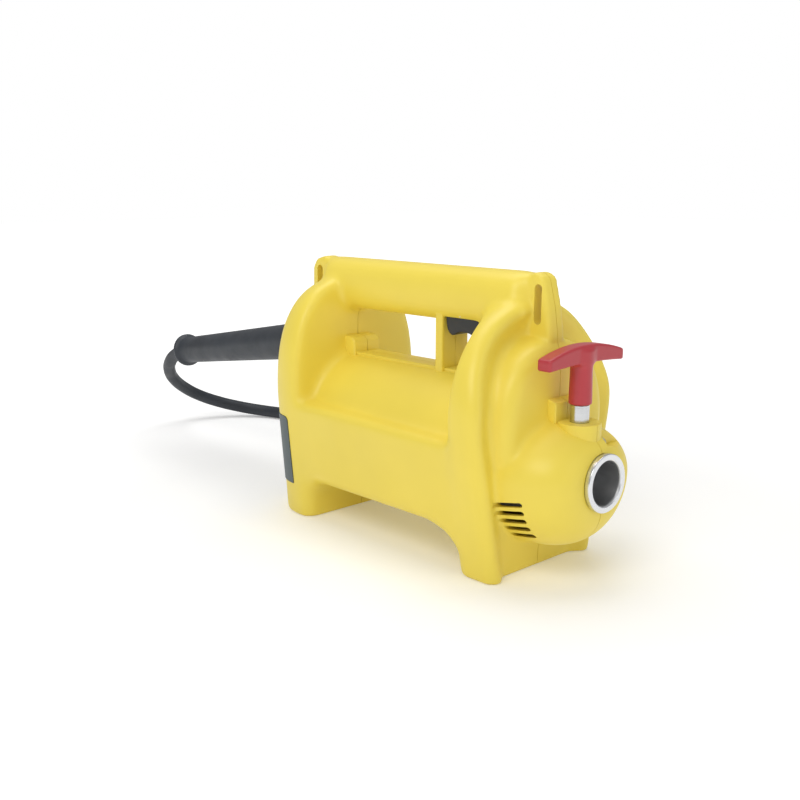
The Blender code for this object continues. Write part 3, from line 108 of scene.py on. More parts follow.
def camera():
    """The photograph's view."""
    data = bpy.data.cameras.new("view")
    data.lens = 45.33
    data.sensor_width = 36.0
    data.clip_start = 0.01
    eye = bpy.data.objects.new("view", data)
    bpy.context.scene.collection.objects.link(eye)
    eye.location = (0.5548, -0.5646, 0.2799)
    eye.rotation_euler = (math.radians(90 - 12.006), 0.0, math.radians(47.11))
    bpy.context.scene.camera = eye


def area_light(name, place, target, size, power, colour=(1.0, 1.0, 1.0)):
    data = bpy.data.lights.new(name, "AREA")
    data.shape = "RECTANGLE"
    data.size, data.size_y = size
    data.energy = power
    data.color = colour
    lamp = bpy.data.objects.new(name, data)
    bpy.context.scene.collection.objects.link(lamp)
    lamp.location = place
    lamp.rotation_euler = (Vector(target) - Vector(place)).to_track_quat("-Z", "Y").to_euler()


def studio():
    """Pale floor under an even sky, white to the camera, with soft lights over it."""
    world = bpy.data.worlds.new("studio")
    bpy.context.scene.world = world
    world.use_nodes = True
    tree = world.node_tree
    sky = tree.nodes["Background"]
    sky.inputs["Color"].default_value = (1.0, 1.0, 1.0, 1.0)
    rays = tree.nodes.new("ShaderNodeLightPath")
    strength = tree.nodes.new("ShaderNodeMapRange")
    strength.inputs["To Min"].default_value = SKY_LIGHT
    strength.inputs["To Max"].default_value = 1.0
    tree.links.new(rays.outputs["Is Camera Ray"], strength.inputs["Value"])
    tree.links.new(strength.outputs["Result"], sky.inputs["Strength"])
    area_light("key", (0.45, -1.15, 1.20), (0.0, 0.0, 0.10), (0.9, 0.7), 8.6, (1.0, 0.985, 0.96))
    area_light("fill", (1.25, 0.10, 0.70), (0.0, 0.0, 0.10), (0.8, 0.8), 1.6)
    area_light("top", (-0.25, 0.15, 1.30), (0.0, 0.0, 0.10), (1.1, 0.9), 7.5)
    bpy.ops.mesh.primitive_plane_add(size=14.0, location=(0.0, 0.0, 0.0))
    floor = bpy.context.active_object
    floor.name = "floor"
    sheet = Shader("studio_floor", (0.93, 0.93, 0.925), 0.9)
    away = sheet.node("ShaderNodeVectorMath", operation="LENGTH")
    sheet.link(sheet.place, away.inputs[0])
    glow = sheet.ramp(away.outputs["Value"], *FLOOR_GLOW, *GLOW_REACH)
    sheet.link(glow, sheet.base.inputs["Emission Strength"])
    sheet.base.inputs["Emission Color"].default_value = (1.0, 1.0, 1.0, 1.0)
    floor.data.materials.append(sheet.material)
    bpy.context.scene.view_settings.view_transform = "Standard"


# ---------------------------------------------------------------- materials
class Shader:
    """A Principled material with a few helpers to wire noise into it."""

    def __init__(self, name, colour, roughness, metallic=0.0, **constants):
        self.material = bpy.data.materials.new(name)
        self.material.use_nodes = True
        self.tree = self.material.node_tree
        self.base = self.tree.nodes["Principled BSDF"]
        self.base.inputs["Base Color"].default_value = (*colour, 1.0)
        for socket, value in {"Roughness": roughness, "Metallic": metallic, **constants}.items():
            self.base.inputs[socket.replace("_", " ")].default_value = value
        self.place = self.node("ShaderNodeTexCoord").outputs["Object"]
        self.height = None

    def node(self, kind, inputs=(), **settings):
        """New node with its settings, then its (socket, value) inputs, filled in."""
        made = self.tree.nodes.new(kind)
        for key, value in settings.items():
            setattr(made, key, value)
        for socket, value in inputs:
            made.inputs[socket].default_value = value
        return made

    def link(self, source, target):
        self.tree.links.new(source, target)

    def stretched(self, stretch, centre=(0.0, 0.0, 0.0)):
        """Object coordinates measured from centre, then scaled by stretch."""
        shift = self.node("ShaderNodeVectorMath", [(1, centre)], operation="SUBTRACT")
        mapping = self.node("ShaderNodeMapping", [("Scale", stretch)], vector_type="POINT")
        self.link(self.place, shift.inputs[0])
        self.link(shift.outputs[0], mapping.inputs["Vector"])
        return mapping.outputs["Vector"]

    def noise(self, scale, detail=3.0, roughness=0.5, place=None):
        texture = self.node("ShaderNodeTexNoise", [("Scale", scale), ("Detail", detail), ("Roughness", roughness)])
        self.link(self.place if place is None else place, texture.inputs["Vector"])
        return texture.outputs["Fac"]

    def waves(self, scale, place, kind, direction, distortion):
        texture = self.node("ShaderNodeTexWave", [("Scale", scale), ("Distortion", distortion)], wave_type=kind)
        setattr(texture, kind.lower() + "_direction", direction)
        self.link(place, texture.inputs["Vector"])
        return texture.outputs["Fac"]

    def cells(self, scale):
        texture = self.node("ShaderNodeTexVoronoi", [("Scale", scale)], feature="F1")
        self.link(self.place, texture.inputs["Vector"])
        return texture.outputs["Distance"]

    def ramp(self, source, low, high, from_low=0.3, from_high=0.7):
        """Maps a texture to a range of numbers."""
        ends = [("From Min", from_low), ("From Max", from_high), ("To Min", low), ("To Max", high)]
        limits = self.node("ShaderNodeMapRange", ends)
        self.link(source, limits.inputs["Value"])
        return limits.outputs["Result"]

    def tint(self, source, first, second, from_low=0.3, from_high=0.7):
        """Base colour that wanders between two colours."""
        mix = self.node("ShaderNodeMix", [("A", (*first, 1.0)), ("B", (*second, 1.0))], data_type="RGBA")
        self.link(self.ramp(source, 0.0, 1.0, from_low, from_high), mix.inputs["Factor"])
        self.link(mix.outputs["Result"], self.base.inputs["Base Color"])

    def rough(self, source, low, high):
        self.link(self.ramp(source, low, high), self.base.inputs["Roughness"])

    def bump(self, source, depth, strength=1.0):
        """Adds relief of the given depth in metres over what is already there."""
        relief = self.node("ShaderNodeBump", [("Strength", strength), ("Distance", depth)])
        self.link(source, relief.inputs["Height"])
        if self.height is not None:
            self.link(self.height, relief.inputs["Normal"])
        self.height = relief.outputs["Normal"]
        self.link(self.height, self.base.inputs["Normal"])


def moulded(name, colour, roughness, grain, depth, spread=0.06):
    """Injection-moulded plastic: fine spark-eroded grain and a faint wander of colour and gloss."""
    shader = Shader(name, colour, roughness)
    wander = shader.noise(9.0, 4.0, 0.55)
    shader.tint(wander, [c * (1 - spread) for c in colour], [min(1.0, c * (1 + 0.5 * spread)) for c in colour])
    shader.rough(shader.noise(28.0, 3.0), roughness - 0.04, roughness + 0.05)
    shader.bump(shader.noise(grain, 2.0, 0.6), depth)
    shader.bump(shader.noise(60.0, 2.0), 0.00012, 0.35)
    return shader.material


def rubber(name, colour, roughness, grain):
    """Moulded rubber with a fine matte skin and faint handling marks."""
    shader = Shader(name, colour, roughness, Specular_IOR_Level=0.45)
    shader.tint(shader.noise(22.0, 5.0, 0.6), [c * 0.8 for c in colour], [c * 1.35 for c in colour])
    shader.rough(shader.noise(55.0, 4.0, 0.6), roughness - 0.07, roughness + 0.09)
    shader.bump(shader.noise(grain, 3.0, 0.6), 0.00005)
    return shader.material


GROOVE_SCALE = 2600.0


def turned_metal(name, colour, roughness, axis, centre, depth=0.000012):
    """Metal turned on a lathe: fine grooves square to its axis, on faces and along its length."""
    shader = Shader(name, colour, roughness, 1.0)
    place = shader.stretched((1.0, 1.0, 1.0), centre)
    stretch = [GROOVE_SCALE if letter == axis else 20.0 for letter in "XYZ"]
    streaks = shader.noise(1.0, 2.0, 0.5, shader.stretched(stretch, centre))
    rings = shader.waves(GROOVE_SCALE / 9.0, place, "RINGS", axis, distortion=0.6)
    shader.tint(streaks, [c * 0.95 for c in colour], colour)
    shader.rough(streaks, roughness - 0.04, roughness + 0.09)
    shader.bump(rings, depth, 0.6)
    shader.bump(streaks, depth, 0.5)
    return shader.material


def cast_metal(name, colour, roughness):
    """Die-cast aluminium with a slightly uneven skin."""
    shader = Shader(name, colour, roughness, 1.0)
    shader.tint(shader.noise(90.0, 4.0), [c * 0.85 for c in colour], colour)
    shader.rough(shader.noise(160.0, 3.0), roughness - 0.05, roughness + 0.12)
    shader.bump(shader.noise(420.0, 3.0), 0.00008)
    return shader.material


def striped(name, colour, roughness, metallic, lines, tones, gloss, depth, **constants):
    """Thin sheets or close turns of wire, seen as parallel lines."""
    shader = Shader(name, colour, roughness, metallic, **constants)
    scale, direction, distortion = lines
    stripes = shader.waves(scale, shader.stretched((1.0, 1.0, 1.0)), "BANDS", direction, distortion)
    shader.tint(stripes, *tones)
    shader.rough(shader.noise(gloss[0]), *gloss[1:])
    shader.bump(stripes, depth)
    return shader.material


def copper_bars(name):
    """Commutator: bright copper with a wear band under the brushes."""
    shader = Shader(name, (0.72, 0.34, 0.16), 0.3, 1.0)
    band = shader.noise(1.0, 3.0, 0.5, shader.stretched((900.0, 14.0, 14.0), AXIS))
    shader.tint(band, (0.42, 0.19, 0.10), (0.78, 0.40, 0.20))
    shader.rough(band, 0.22, 0.45)
    shader.bump(band, 0.00002)
    return shader.material


def carbon(name):
    shader = Shader(name, (0.030, 0.030, 0.032), 0.6, Specular_IOR_Level=0.3)
    shader.tint(shader.noise(1400.0, 2.0), (0.02, 0.02, 0.022), (0.06, 0.06, 0.062), 0.45, 0.7)
    shader.rough(shader.noise(300.0), 0.5, 0.75)
    shader.bump(shader.noise(1800.0), 0.00006)
    return shader.material


def foam(name):
    """Open-cell filter foam, with painted shade in its pores."""
    shader = Shader(name, (0.05, 0.05, 0.055), 0.95, Specular_IOR_Level=0.2)
    pores = shader.cells(1100.0)
    # pores painted darker than the cell walls: painted shade in the holes; the bump below is real relief
    shader.tint(pores, (0.012, 0.012, 0.013), (0.09, 0.09, 0.095), 0.1, 0.6)
    shader.bump(pores, 0.0006)
    return shader.material


YELLOW = (0.850, 0.675, 0.085)
MATERIALS = {
    "yellow": moulded("yellow_shell_plastic", YELLOW, 0.42, 1300.0, 0.00004, 0.05),
    "grey": moulded("filter_cover_plastic", (0.085, 0.110, 0.115), 0.52, 1500.0, 0.00006),
    "black": moulded("black_moulded_plastic", (0.016, 0.017, 0.018), 0.42, 1300.0, 0.00006),
    "red": moulded("red_handle_plastic", (0.460, 0.036, 0.048), 0.36, 1200.0, 0.00003, 0.08),
    "white": moulded("white_moulded_plastic", (0.70, 0.70, 0.65), 0.45, 1500.0, 0.00004),
    "boot": rubber("boot_rubber", (0.0260, 0.0310, 0.0390), 0.46, 1100.0),
    "cord": rubber("lead_rubber", (0.0180, 0.0220, 0.0290), 0.50, 1500.0),
    "plug": rubber("plug_rubber", (0.0150, 0.0165, 0.0190), 0.48, 1000.0),
    "ring": turned_metal("coupling_aluminium", (0.76, 0.77, 0.79), 0.24, "X", AXIS),
    # inside the bore of the same aluminium sleeve: a rougher bored finish, and a darker colour that is painted shade
    "bore": turned_metal("coupling_bore_painted_shade", (0.50, 0.505, 0.51), 0.42, "X", AXIS, depth=0.00004),
    "socket": turned_metal("socket_steel", (0.55, 0.55, 0.56), 0.36, "X", AXIS),
    "shaft": turned_metal("shaft_steel", (0.70, 0.71, 0.73), 0.20, "X", AXIS),
    "bush": turned_metal("bush_steel", (0.58, 0.59, 0.60), 0.20, "Z", (PIN_X + OFFSET.x, 0.0, 0.0)),
    "steel": turned_metal("bright_steel", (0.66, 0.67, 0.69), 0.24, "Y", AXIS),
    "screw": turned_metal("zinc_screw", (0.62, 0.63, 0.64), 0.30, "Y", AXIS),
    "pins": turned_metal("plug_pin_metal", (0.74, 0.72, 0.66), 0.22, "X", (0.0, 0.276, 0.0185)),
    "cast": cast_metal("die_cast_aluminium", (0.62, 0.63, 0.65), 0.42),
    "can": turned_metal("capacitor_can", (0.72, 0.73, 0.75), 0.32, "Y", (-0.1407, 0.0, 0.112)),
    "lamination": striped("lamination_steel", (0.20, 0.20, 0.22), 0.45, 1.0, (320.0, "X", 0.0),
                          ((0.10, 0.10, 0.11), (0.27, 0.27, 0.29), 0.1, 0.6), (80.0, 0.36, 0.55), 0.00006),
    "winding": striped("enamelled_copper", (0.55, 0.20, 0.07), 0.28, 0.9, (380.0, "DIAGONAL", 1.5),
                       ((0.33, 0.11, 0.04), (0.68, 0.27, 0.10), 0.1, 0.8), (120.0, 0.2, 0.36), 0.00012,
                       Coat_Weight=0.4, Coat_Roughness=0.15),
    "commutator": copper_bars("commutator_copper"),
    "carbon": carbon("brush_carbon"),
    "foam": foam("filter_foam_cells"),
}
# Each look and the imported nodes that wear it; every other node is bright steel.
LOOK_NODES = {
    "yellow": "right_housing left_housing",
    "grey": "filter_cover",
    "foam": "filter_foam",
    "black": "switch_rocker switch_body cooling_fan fan_baffle left_brush_holder right_brush_holder"
             " cord_clamp_base cord_clamp_saddle live_wire",
    "boot": "cable_boot",
    "cord": "cord_lead_in cord_run cord_coil cord_tail",
    "plug": "plug_body",
    "white": "terminal_block neutral_wire",
    "red": "lock_handle",
    "bush": "lock_bush lock_pin lock_spring",
    "shaft": "armature_shaft rear_bearing_inner rear_bearing_outer front_bearing_inner front_bearing_outer",
    "socket": "drive_socket",
    "pins": "plug_pin_1 plug_pin_2",
    "ring": "coupling_sleeve",
    "cast": "front_bearing_bracket rear_bearing_bracket",
    "can": "capacitor",
    "lamination": "stator_core armature_core",
    "winding": "upper_field_coil lower_field_coil front_winding rear_winding",
    "commutator": "commutator",
    "carbon": "left_carbon_brush right_carbon_brush",
}


def dress_nodes():
    """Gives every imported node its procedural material."""
    looks = {name: look for look, names in LOOK_NODES.items() for name in names.split()}
    for name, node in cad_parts.items():
        node.data.materials.clear()
        node.data.materials.append(MATERIALS[looks.get(name, "steel")])


# ---------------------------------------------------------------- mesh helpers
def scratch(name, bm):
    """A loose mesh object for Booleans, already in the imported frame."""
    bm.transform(Matrix.Translation(OFFSET))
    bmesh.ops.remove_doubles(bm, verts=bm.verts, dist=1e-6)
    bmesh.ops.recalc_face_normals(bm, faces=bm.faces)
    mesh = bpy.data.meshes.new(name)
    bm.to_mesh(mesh)
    bm.free()
    made = bpy.data.objects.new(name, mesh)
    bpy.context.scene.collection.objects.link(made)
    return made


def combine(base, tools, operation):
    """Boolean of base with each tool in turn; the tools are dropped."""
    for tool in tools:
        step = base.modifiers.new("cut", "BOOLEAN")
        step.operation = operation
        step.solver = "MANIFOLD"
        step.object = tool
    bpy.context.view_layer.update()
    graph = bpy.context.evaluated_depsgraph_get()
    mesh = bpy.data.meshes.new_from_object(base.evaluated_get(graph), depsgraph=graph)
    base.modifiers.clear()
    base.data = mesh
    for tool in tools:
        bpy.data.objects.remove(tool, do_unlink=True)
    return base


def finish_piece(piece, name, look, body, node, sharp=38.0):
    """Names, shades and dresses a piece and hands it to its body."""
    piece.name = name
    mesh = piece.data
    mesh.shade_smooth()
    mesh.set_sharp_from_angle(angle=math.radians(sharp))
    mesh.materials.clear()
    for each in [look] if isinstance(look, str) else look:
        mesh.materials.append(MATERIALS[each])
    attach(piece, body)
    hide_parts(node)


def loft(sections):
    """Closed solid through rings of points; every section has the same count."""
    bm = bmesh.new()
    rings = [[bm.verts.new(point) for point in section] for section in sections]
    count = len(rings[0])
    for ring, following in zip(rings, rings[1:]):
        for i in range(count):
            j = (i + 1) % count
            bm.faces.new((ring[i], ring[j], following[j], following[i]))
    bm.faces.new(list(reversed(rings[0])))
    bm.faces.new(rings[-1])
    return bm


def prism(outline, low, high, axis):
    """Extrude a closed outline between two values of one axis."""
    place = {
        "X": lambda p, q, w: (w, p, q),
        "Y": lambda p, q, w: (p, w, q),
        "Z": lambda p, q, w: (p, q, w),
    }[axis]
    return loft([[place(p, q, w) for p, q in outline] for w in (low, high)])


def block(low, high):
    outline = [(low[0], low[1]), (high[0], low[1]), (high[0], high[1]), (low[0], high[1])]
    return prism(outline, low[2], high[2], "Z")


def softened(bm, width, segments=3, angle=25.0):
    """Rounds the solid's edges that turn more than angle."""
    bmesh.ops.recalc_face_normals(bm, faces=bm.faces)
    edges = [e for e in bm.edges if len(e.link_faces) == 2 and e.calc_face_angle() > math.radians(angle)]
    bmesh.ops.bevel(bm, geom=edges, offset=width, segments=segments, affect="EDGES", profile=0.5,
                    clamp_overlap=True)
    return bm


def turned(profile, centre, direction, segments, round_by=0.0):
    """Revolve a closed (along, radius) profile; round_by softens its corners first."""
    if round_by:
        profile = rounded(profile, round_by)
    bm = bmesh.new()
    rings = []
    for step in range(segments):
        angle = math.tau * step / segments
        rings.append([bm.verts.new((along, radius * math.cos(angle), radius * math.sin(angle)))
                      for along, radius in profile])
    count = len(profile)
    for step in range(segments):
        ring, following = rings[step], rings[(step + 1) % segments]
        for i in range(count):
            j = (i + 1) % count
            if profile[i][1] < 1e-9 and profile[j][1] < 1e-9:
                continue
            bm.faces.new((ring[i], ring[j], following[j], following[i]))
    bmesh.ops.remove_doubles(bm, verts=bm.verts, dist=1e-7)
    bmesh.ops.dissolve_degenerate(bm, dist=1e-7, edges=bm.edges)
    turn = Vector((1, 0, 0)).rotation_difference(Vector(direction)).to_matrix().to_4x4()
    bm.transform(Matrix.Translation(centre) @ turn)
    bmesh.ops.recalc_face_normals(bm, faces=bm.faces)
    return bm


def rod(low, high, radius, place, direction, segments):
    """Plain cylinder from low to high along its direction."""
    return turned([(low, 0.0), (high, 0.0), (high, radius), (low, radius)], place, direction, segments)


def rounded(profile, radius):
    """Replaces the corners of a closed outline with small arcs. Corners on the axis stay."""
    points = [Vector(p) for p in profile]
    result = []
    for before, corner, after in zip(points[-1:] + points[:-1], points, points[1:] + points[:1]):
        if corner.y < 1e-9:
            result.append(tuple(corner))
            continue
        back, ahead = before - corner, after - corner
        reach = min(radius, 0.45 * back.length, 0.45 * ahead.length)
        start, end = corner + back.normalized() * reach, corner + ahead.normalized() * reach
        for t in (0.0, 0.25, 0.5, 0.75, 1.0):
            result.append(tuple(start.lerp(corner, t).lerp(corner.lerp(end, t), t)))
    return result


# ---------------------------------------------------------------- fields
# A field is a rough signed distance, negative inside. Hard unions of fields are blurred on a
# grid, which rounds every crease and edge but leaves flat faces flat, as a moulding has them.
def round_cut(a, b, radius):
    """Intersection of two fields with a rounded edge."""
    return np.minimum(-radius, np.maximum(a, b)) + np.hypot(np.maximum(radius + a, 0), np.maximum(radius + b, 0))


def round_join(a, b, radius):
    """Union of two fields with a fillet."""
    return np.maximum(radius, np.minimum(a, b)) - np.hypot(np.maximum(radius - a, 0), np.maximum(radius - b, 0))


def ramp_between(value, low, high):
    """0 below low, 1 above high, smooth between."""
    share = np.clip((value - low) / (high - low), 0.0, 1.0)
    return share * share * (3.0 - 2.0 * share)


def lean_at(z, lean):
    return lean[0] * ramp_between(z, lean[1], lean[2])


def ellipse(p, q, half_p, half_q):
    reach = np.maximum(np.hypot(p / half_p, q / half_q), 1e-3)
    slope = np.maximum(np.hypot(p / half_p ** 2, q / half_q ** 2), 1e-2)
    return reach * (reach - 1.0) / slope


def superellipse(p, q, half_p, half_q, power):
    reach = ((np.abs(p) / half_p) ** power + (np.abs(q) / half_q) ** power) ** (1.0 / power)
    return (reach - 1.0) * min(half_p, half_q)


def polygon(p, q, outline):
    """Signed distance to a closed outline."""
    best, inside = 1e9, False
    for (p0, q0), (p1, q1) in zip(outline, outline[1:] + outline[:1]):
        ep, eq = p1 - p0, q1 - q0
        share = np.clip(((p - p0) * ep + (q - q0) * eq) / (ep * ep + eq * eq), 0.0, 1.0)
        best = np.minimum(best, np.hypot(p - p0 - ep * share, q - q0 - eq * share))
        if eq:
            inside = inside ^ (((q0 > q) != (q1 > q)) & (p < ep * (q - q0) / eq + p0))
    return np.where(inside, -best, best)


def blurred(volume, sigma_cells):
    """Gaussian blur along each axis of a grid."""
    reach = max(1, int(math.ceil(2.6 * sigma_cells)))
    offsets = np.arange(-reach, reach + 1)
    weights = np.exp(-0.5 * (offsets / sigma_cells) ** 2)
    weights /= weights.sum()
    for axis in range(3):
        padded = np.pad(volume, [(reach, reach) if k == axis else (0, 0) for k in range(3)], mode="edge")
        result = np.zeros_like(volume)
        for offset, weight in zip(offsets, weights):
            window = [slice(None)] * 3
            window[axis] = slice(reach + offset, reach + offset + volume.shape[axis])
            result += np.float32(weight) * padded[tuple(window)]
        volume = result
    return volume


CORNERS = [(i, j, k) for i in (0, 1) for j in (0, 1) for k in (0, 1)]
CELL_EDGES = [(a, b) for a in range(8) for b in range(a + 1, 8)
              if sum(abs(p - q) for p, q in zip(CORNERS[a], CORNERS[b])) == 1]


def surface(volume, origin, cell):
    """Closed quad mesh of the grid's zero level, one vertex in each cell that it crosses."""
    volume = np.pad(volume, 2, constant_values=np.float32(cell))
    origin = [value - 2 * cell for value in origin]
    shape = [n - 1 for n in volume.shape]
    values = [volume[i:i + shape[0], j:j + shape[1], k:k + shape[2]] for i, j, k in CORNERS]
    count = sum((value < 0).astype(np.int8) for value in values)
    crossed = np.nonzero((count > 0) & (count < 8))
    corner = [value[crossed] for value in values]
    total = np.zeros((len(crossed[0]), 3))
    hits = np.zeros(len(crossed[0]))
    for a, b in CELL_EDGES:
        hit = (corner[a] < 0) != (corner[b] < 0)
        span = np.where(hit, corner[a] - corner[b], 1.0)
        share = np.where(hit, corner[a] / span, 0.0)
        start, run = np.array(CORNERS[a], float), np.subtract(CORNERS[b], CORNERS[a]).astype(float)
        total += np.where(hit[:, None], start + share[:, None] * run, 0.0)
        hits += hit
    points = np.stack(crossed, 1) + total / hits[:, None]
    number = np.full(shape, -1, np.int64)
    number[crossed] = np.arange(len(points))
    solid = volume < 0
    quads = []
    for axis in range(3):
        u, v = (axis + 1) % 3, (axis + 2) % 3
        places = np.argwhere(np.diff(solid, axis=axis))
        inside = solid[tuple(places.T)]
        ring = []
        for du, dv in ((1, 1), (0, 1), (0, 0), (1, 0)):
            place = places.copy()
            place[:, u] -= du
            place[:, v] -= dv
            ring.append(number[tuple(place.T)])
        ring = np.stack(ring, 1)
        ring[~inside] = ring[~inside][:, ::-1]
        quads.append(ring)
    quads = np.concatenate(quads)
    mesh = bpy.data.meshes.new("surface")
    mesh.from_pydata((points * cell + np.array(origin)).tolist(), [], quads.tolist())
    mesh.validate()
    made = bpy.data.objects.new("surface", mesh)
    bpy.context.scene.collection.objects.link(made)
    return made


# ---------------------------------------------------------------- housing form
LEG_ANGLE = (math.asin(FRONT_RADIUS / math.hypot(FRONT_CENTRE_Z, FRONT_FOOT_HALF))
             - math.atan2(FRONT_FOOT_HALF, FRONT_CENTRE_Z))
LEG_SINE, LEG_COSINE = math.sin(LEG_ANGLE), math.cos(LEG_ANGLE)
BODY_X = (-0.100, 0.114)
BODY_FOOT, BODY_LEDGE, BODY_HUMP = (0.0595, 0.0572), (0.0690, 0.0755), (0.0545, 0.0668)
VALLEY = (0.0075, 0.007, 0.021)    # depth of the trough inside the front rim, and where it starts and ends
COWL = (0.0575, 0.0640, 2.2, 0.110, 0.1388)


def front_outline(a, z):
    """Circle on two straight legs that leave it on its tangents."""
    rise = z - FRONT_CENTRE_Z
    on_leg = -a * LEG_SINE - rise * LEG_COSINE > 0
    return np.where(on_leg, a * LEG_COSINE - rise * LEG_SINE, np.hypot(a, rise)) - FRONT_RADIUS


def front_width(z):
    rise = z - FRONT_CENTRE_Z
    circle = np.sqrt(np.maximum(FRONT_RADIUS ** 2 - rise ** 2, 0.0))
    return np.where(rise < -FRONT_RADIUS * LEG_SINE, (FRONT_RADIUS + rise * LEG_SINE) / LEG_COSINE, circle)


def front_arch(x, a, z):
    outline = front_outline(a, z)
    depth, start, end = VALLEY
    face = ARCH_FRONT_X - lean_at(z, FRONT_LEAN) - depth * ramp_between(-outline, start, end)
    return np.maximum(round_cut(outline, x - face, 0.009), FRONT_BAND_X - x)


def rear_crown(x, a, z):
    """Rear arch, full width at the hand opening and closing in to the rear with large round corners."""
    share = np.maximum(WINDOW_REAR_X - x, 0.0) / (WINDOW_REAR_X - REAR_X)
    leg = REAR_FOOT_HALF + (REAR_HALF - REAR_FOOT_HALF) * np.minimum(z / REAR_WIDE_Z, 1.0)
    across = (a / leg) ** REAR_POWER + (np.maximum(z - REAR_WIDE_Z, 0.0) / REAR_RISE) ** REAR_POWER
    reach = (across ** (REAR_PLAN_POWER / REAR_POWER) + share ** REAR_PLAN_POWER) ** (1.0 / REAR_PLAN_POWER)
    slope = np.sqrt(sum(step ** 2 for step in np.gradient(reach, CELL)))
    return round_cut((reach - 1.0) / np.maximum(slope, 5.0), x - WINDOW_REAR_X, OPEN_EDGE)


def rear_face(x, a, z):
    """Flat-faced core of the rear arch."""
    leg = a - (FACE_FOOT_HALF + (FACE_HALF - FACE_FOOT_HALF) * z / FACE_WIDE_Z)
    outline = np.where(z > FACE_WIDE_Z, ellipse(a, z - FACE_WIDE_Z, FACE_HALF, FACE_RISE), leg)
    slab = round_cut(outline, REAR_X + lean_at(z, REAR_LEAN) - x, 0.009)
    return np.maximum(slab, x - FACE_FRONT_X)


def funnel(x, a, z):
    """Wall that narrows from the front arch to the end of the hand opening."""
    share = np.clip((x - FRONT_BAND_X) / (WINDOW_FRONT_X - FRONT_BAND_X), 0.0, 1.0)
    half = front_width(z) * (1.0 - share) + WINDOW_HALF * share
    wall = (a - half) * math.cos(math.atan2(0.05, FRONT_BAND_X - WINDOW_FRONT_X))
    return np.maximum(np.maximum(wall, front_outline(a, z)), np.maximum(WINDOW_FRONT_X - x, x - FRONT_BAND_X - 0.010))


def lower_body(x, a, z):
    share = np.clip((x - BODY_X[0]) / (BODY_X[1] - BODY_X[0]), 0.0, 1.0)
    foot, ledge, hump = (low + (high - low) * share for low, high in (BODY_FOOT, BODY_LEDGE, BODY_HUMP))
    panel = round_cut(a - foot - (ledge - foot) * z / LEDGE_Z, z - LEDGE_Z - 0.003, 0.004)
    motor = ellipse(a, z - AXIS_Z, hump, SILL_Z - AXIS_Z)
    return np.maximum(np.minimum(panel, motor), np.maximum(BODY_X[0] - x, x - BODY_X[1]))


def handle_bar(x, a, z):
    middle, half = 0.5 * (HEIGHT + HANDLE_BOTTOM), 0.5 * (HEIGHT - HANDLE_BOTTOM)
    bar = superellipse(a, z - middle, HANDLE_HALF, half, 2.6)
    return round_cut(bar, np.maximum(HANDLE_X[0] - x, x - HANDLE_X[1]), 0.006)


def nose_dome(x, a, z):
    height = np.where(z > AXIS_Z, DOME_RISE, DOME_DROP)
    radial = np.hypot(a / DOME_SIDE, (z - AXIS_Z) / height)
    ahead = np.maximum(x - DOME_BASE_X, 0.0) / DOME_LENGTH
    bulge = ((radial ** DOME_POWER + ahead ** DOME_POWER) ** (1.0 / DOME_POWER) - 1.0) * 0.045
    return np.maximum(round_cut(bulge, x - NOSE_X, 0.002), DOME_BASE_X - 0.012 - x)


def front_cowl(x, a, z):
    half_y, half_z, power, centre_z, face_x = COWL
    ring = superellipse(a, z - centre_z, half_y, half_z, power)
    return np.maximum(round_cut(ring, x - face_x, 0.012), 0.112 - x)


def belly_gap(x, z):
    outline = [(REAR_FOOT_X, -0.05), (REAR_FOOT_X, BELLY_Z - 0.012), (REAR_FOOT_X + 0.004, BELLY_Z - 0.004),
               (REAR_FOOT_X + 0.013, BELLY_Z), (FRONT_FOOT_X - 0.034, BELLY_Z), (FRONT_FOOT_X - 0.016, BELLY_Z - 0.005),
               (FRONT_FOOT_X - 0.006, BELLY_Z - 0.015), (FRONT_FOOT_X, -0.05)]
    return polygon(x, z, outline)


CELL = 0.0017
GRID_LOW, GRID_HIGH = (-0.147, 0.0, -0.016), (0.189, 0.0935, 0.234)
SHARP_BLUR, SOFT_BLUR = 0.0013, 0.0043      # the two fillet sizes, as blur widths
BELLY_ROUND, OPEN_EDGE = 0.010, 0.004       # rounding of the belly's edges and of the rear arch's open edge
COVER_CORNER = 0.004


def housing_grid():
    """Field of the closed housing on the whole grid, and the grid's first point."""
    axes = [low + CELL * (np.arange(int((high - low) / CELL)) + (0.5 if low == 0.0 else 0.0))
            for low, high in zip(GRID_LOW, GRID_HIGH)]
    x, a, z = (axis.astype(np.float32).reshape([-1 if k == n else 1 for k in range(3)])
               for n, axis in enumerate(axes))
    field = lower_body(x, a, z)
    parts = [
        rear_crown(x, a, z), rear_face(x, a, z), front_arch(x, a, z), funnel(x, a, z),
        handle_bar(x, a, z), front_cowl(x, a, z),
    ]
    for part in parts:
        field = np.minimum(field, part)
    field = np.minimum(field, nose_dome(x, a, z))
    for fin in (FRONT_FIN, REAR_FIN):
        field = np.minimum(field, round_cut(polygon(x, z, fin) + 0.0 * a, a - FIN_HALF, 0.0015))
    field = round_cut(field, -belly_gap(x, z) + 0.0 * a, BELLY_ROUND)
    field = np.maximum(field, -z).astype(np.float32)
    full = np.concatenate([field[:, ::-1, :], field], 1)
    mirrored = np.concatenate([-a[:, ::-1, :], a], 1)
    fine, soft = blurred(full, SHARP_BLUR / CELL), blurred(full, SOFT_BLUR / CELL)
    share = ramp_between(z, 0.004, 0.022) * (1.0 - ramp_between(x, 0.138, 0.150))
    share = share * (1.0 - 0.75 * ramp_between(x, 0.124, 0.134))
    fins = ramp_between(np.abs(x), 0.113, 0.119) * ramp_between(z, 0.168, 0.180) \
        * (1.0 - ramp_between(np.abs(mirrored), 0.014, 0.022))
    share = share * (1.0 - fins)
    origin = (GRID_LOW[0] + OFFSET.x, float(-axes[1][-1]), GRID_LOW[2])
    return fine + share * (soft - fine), origin


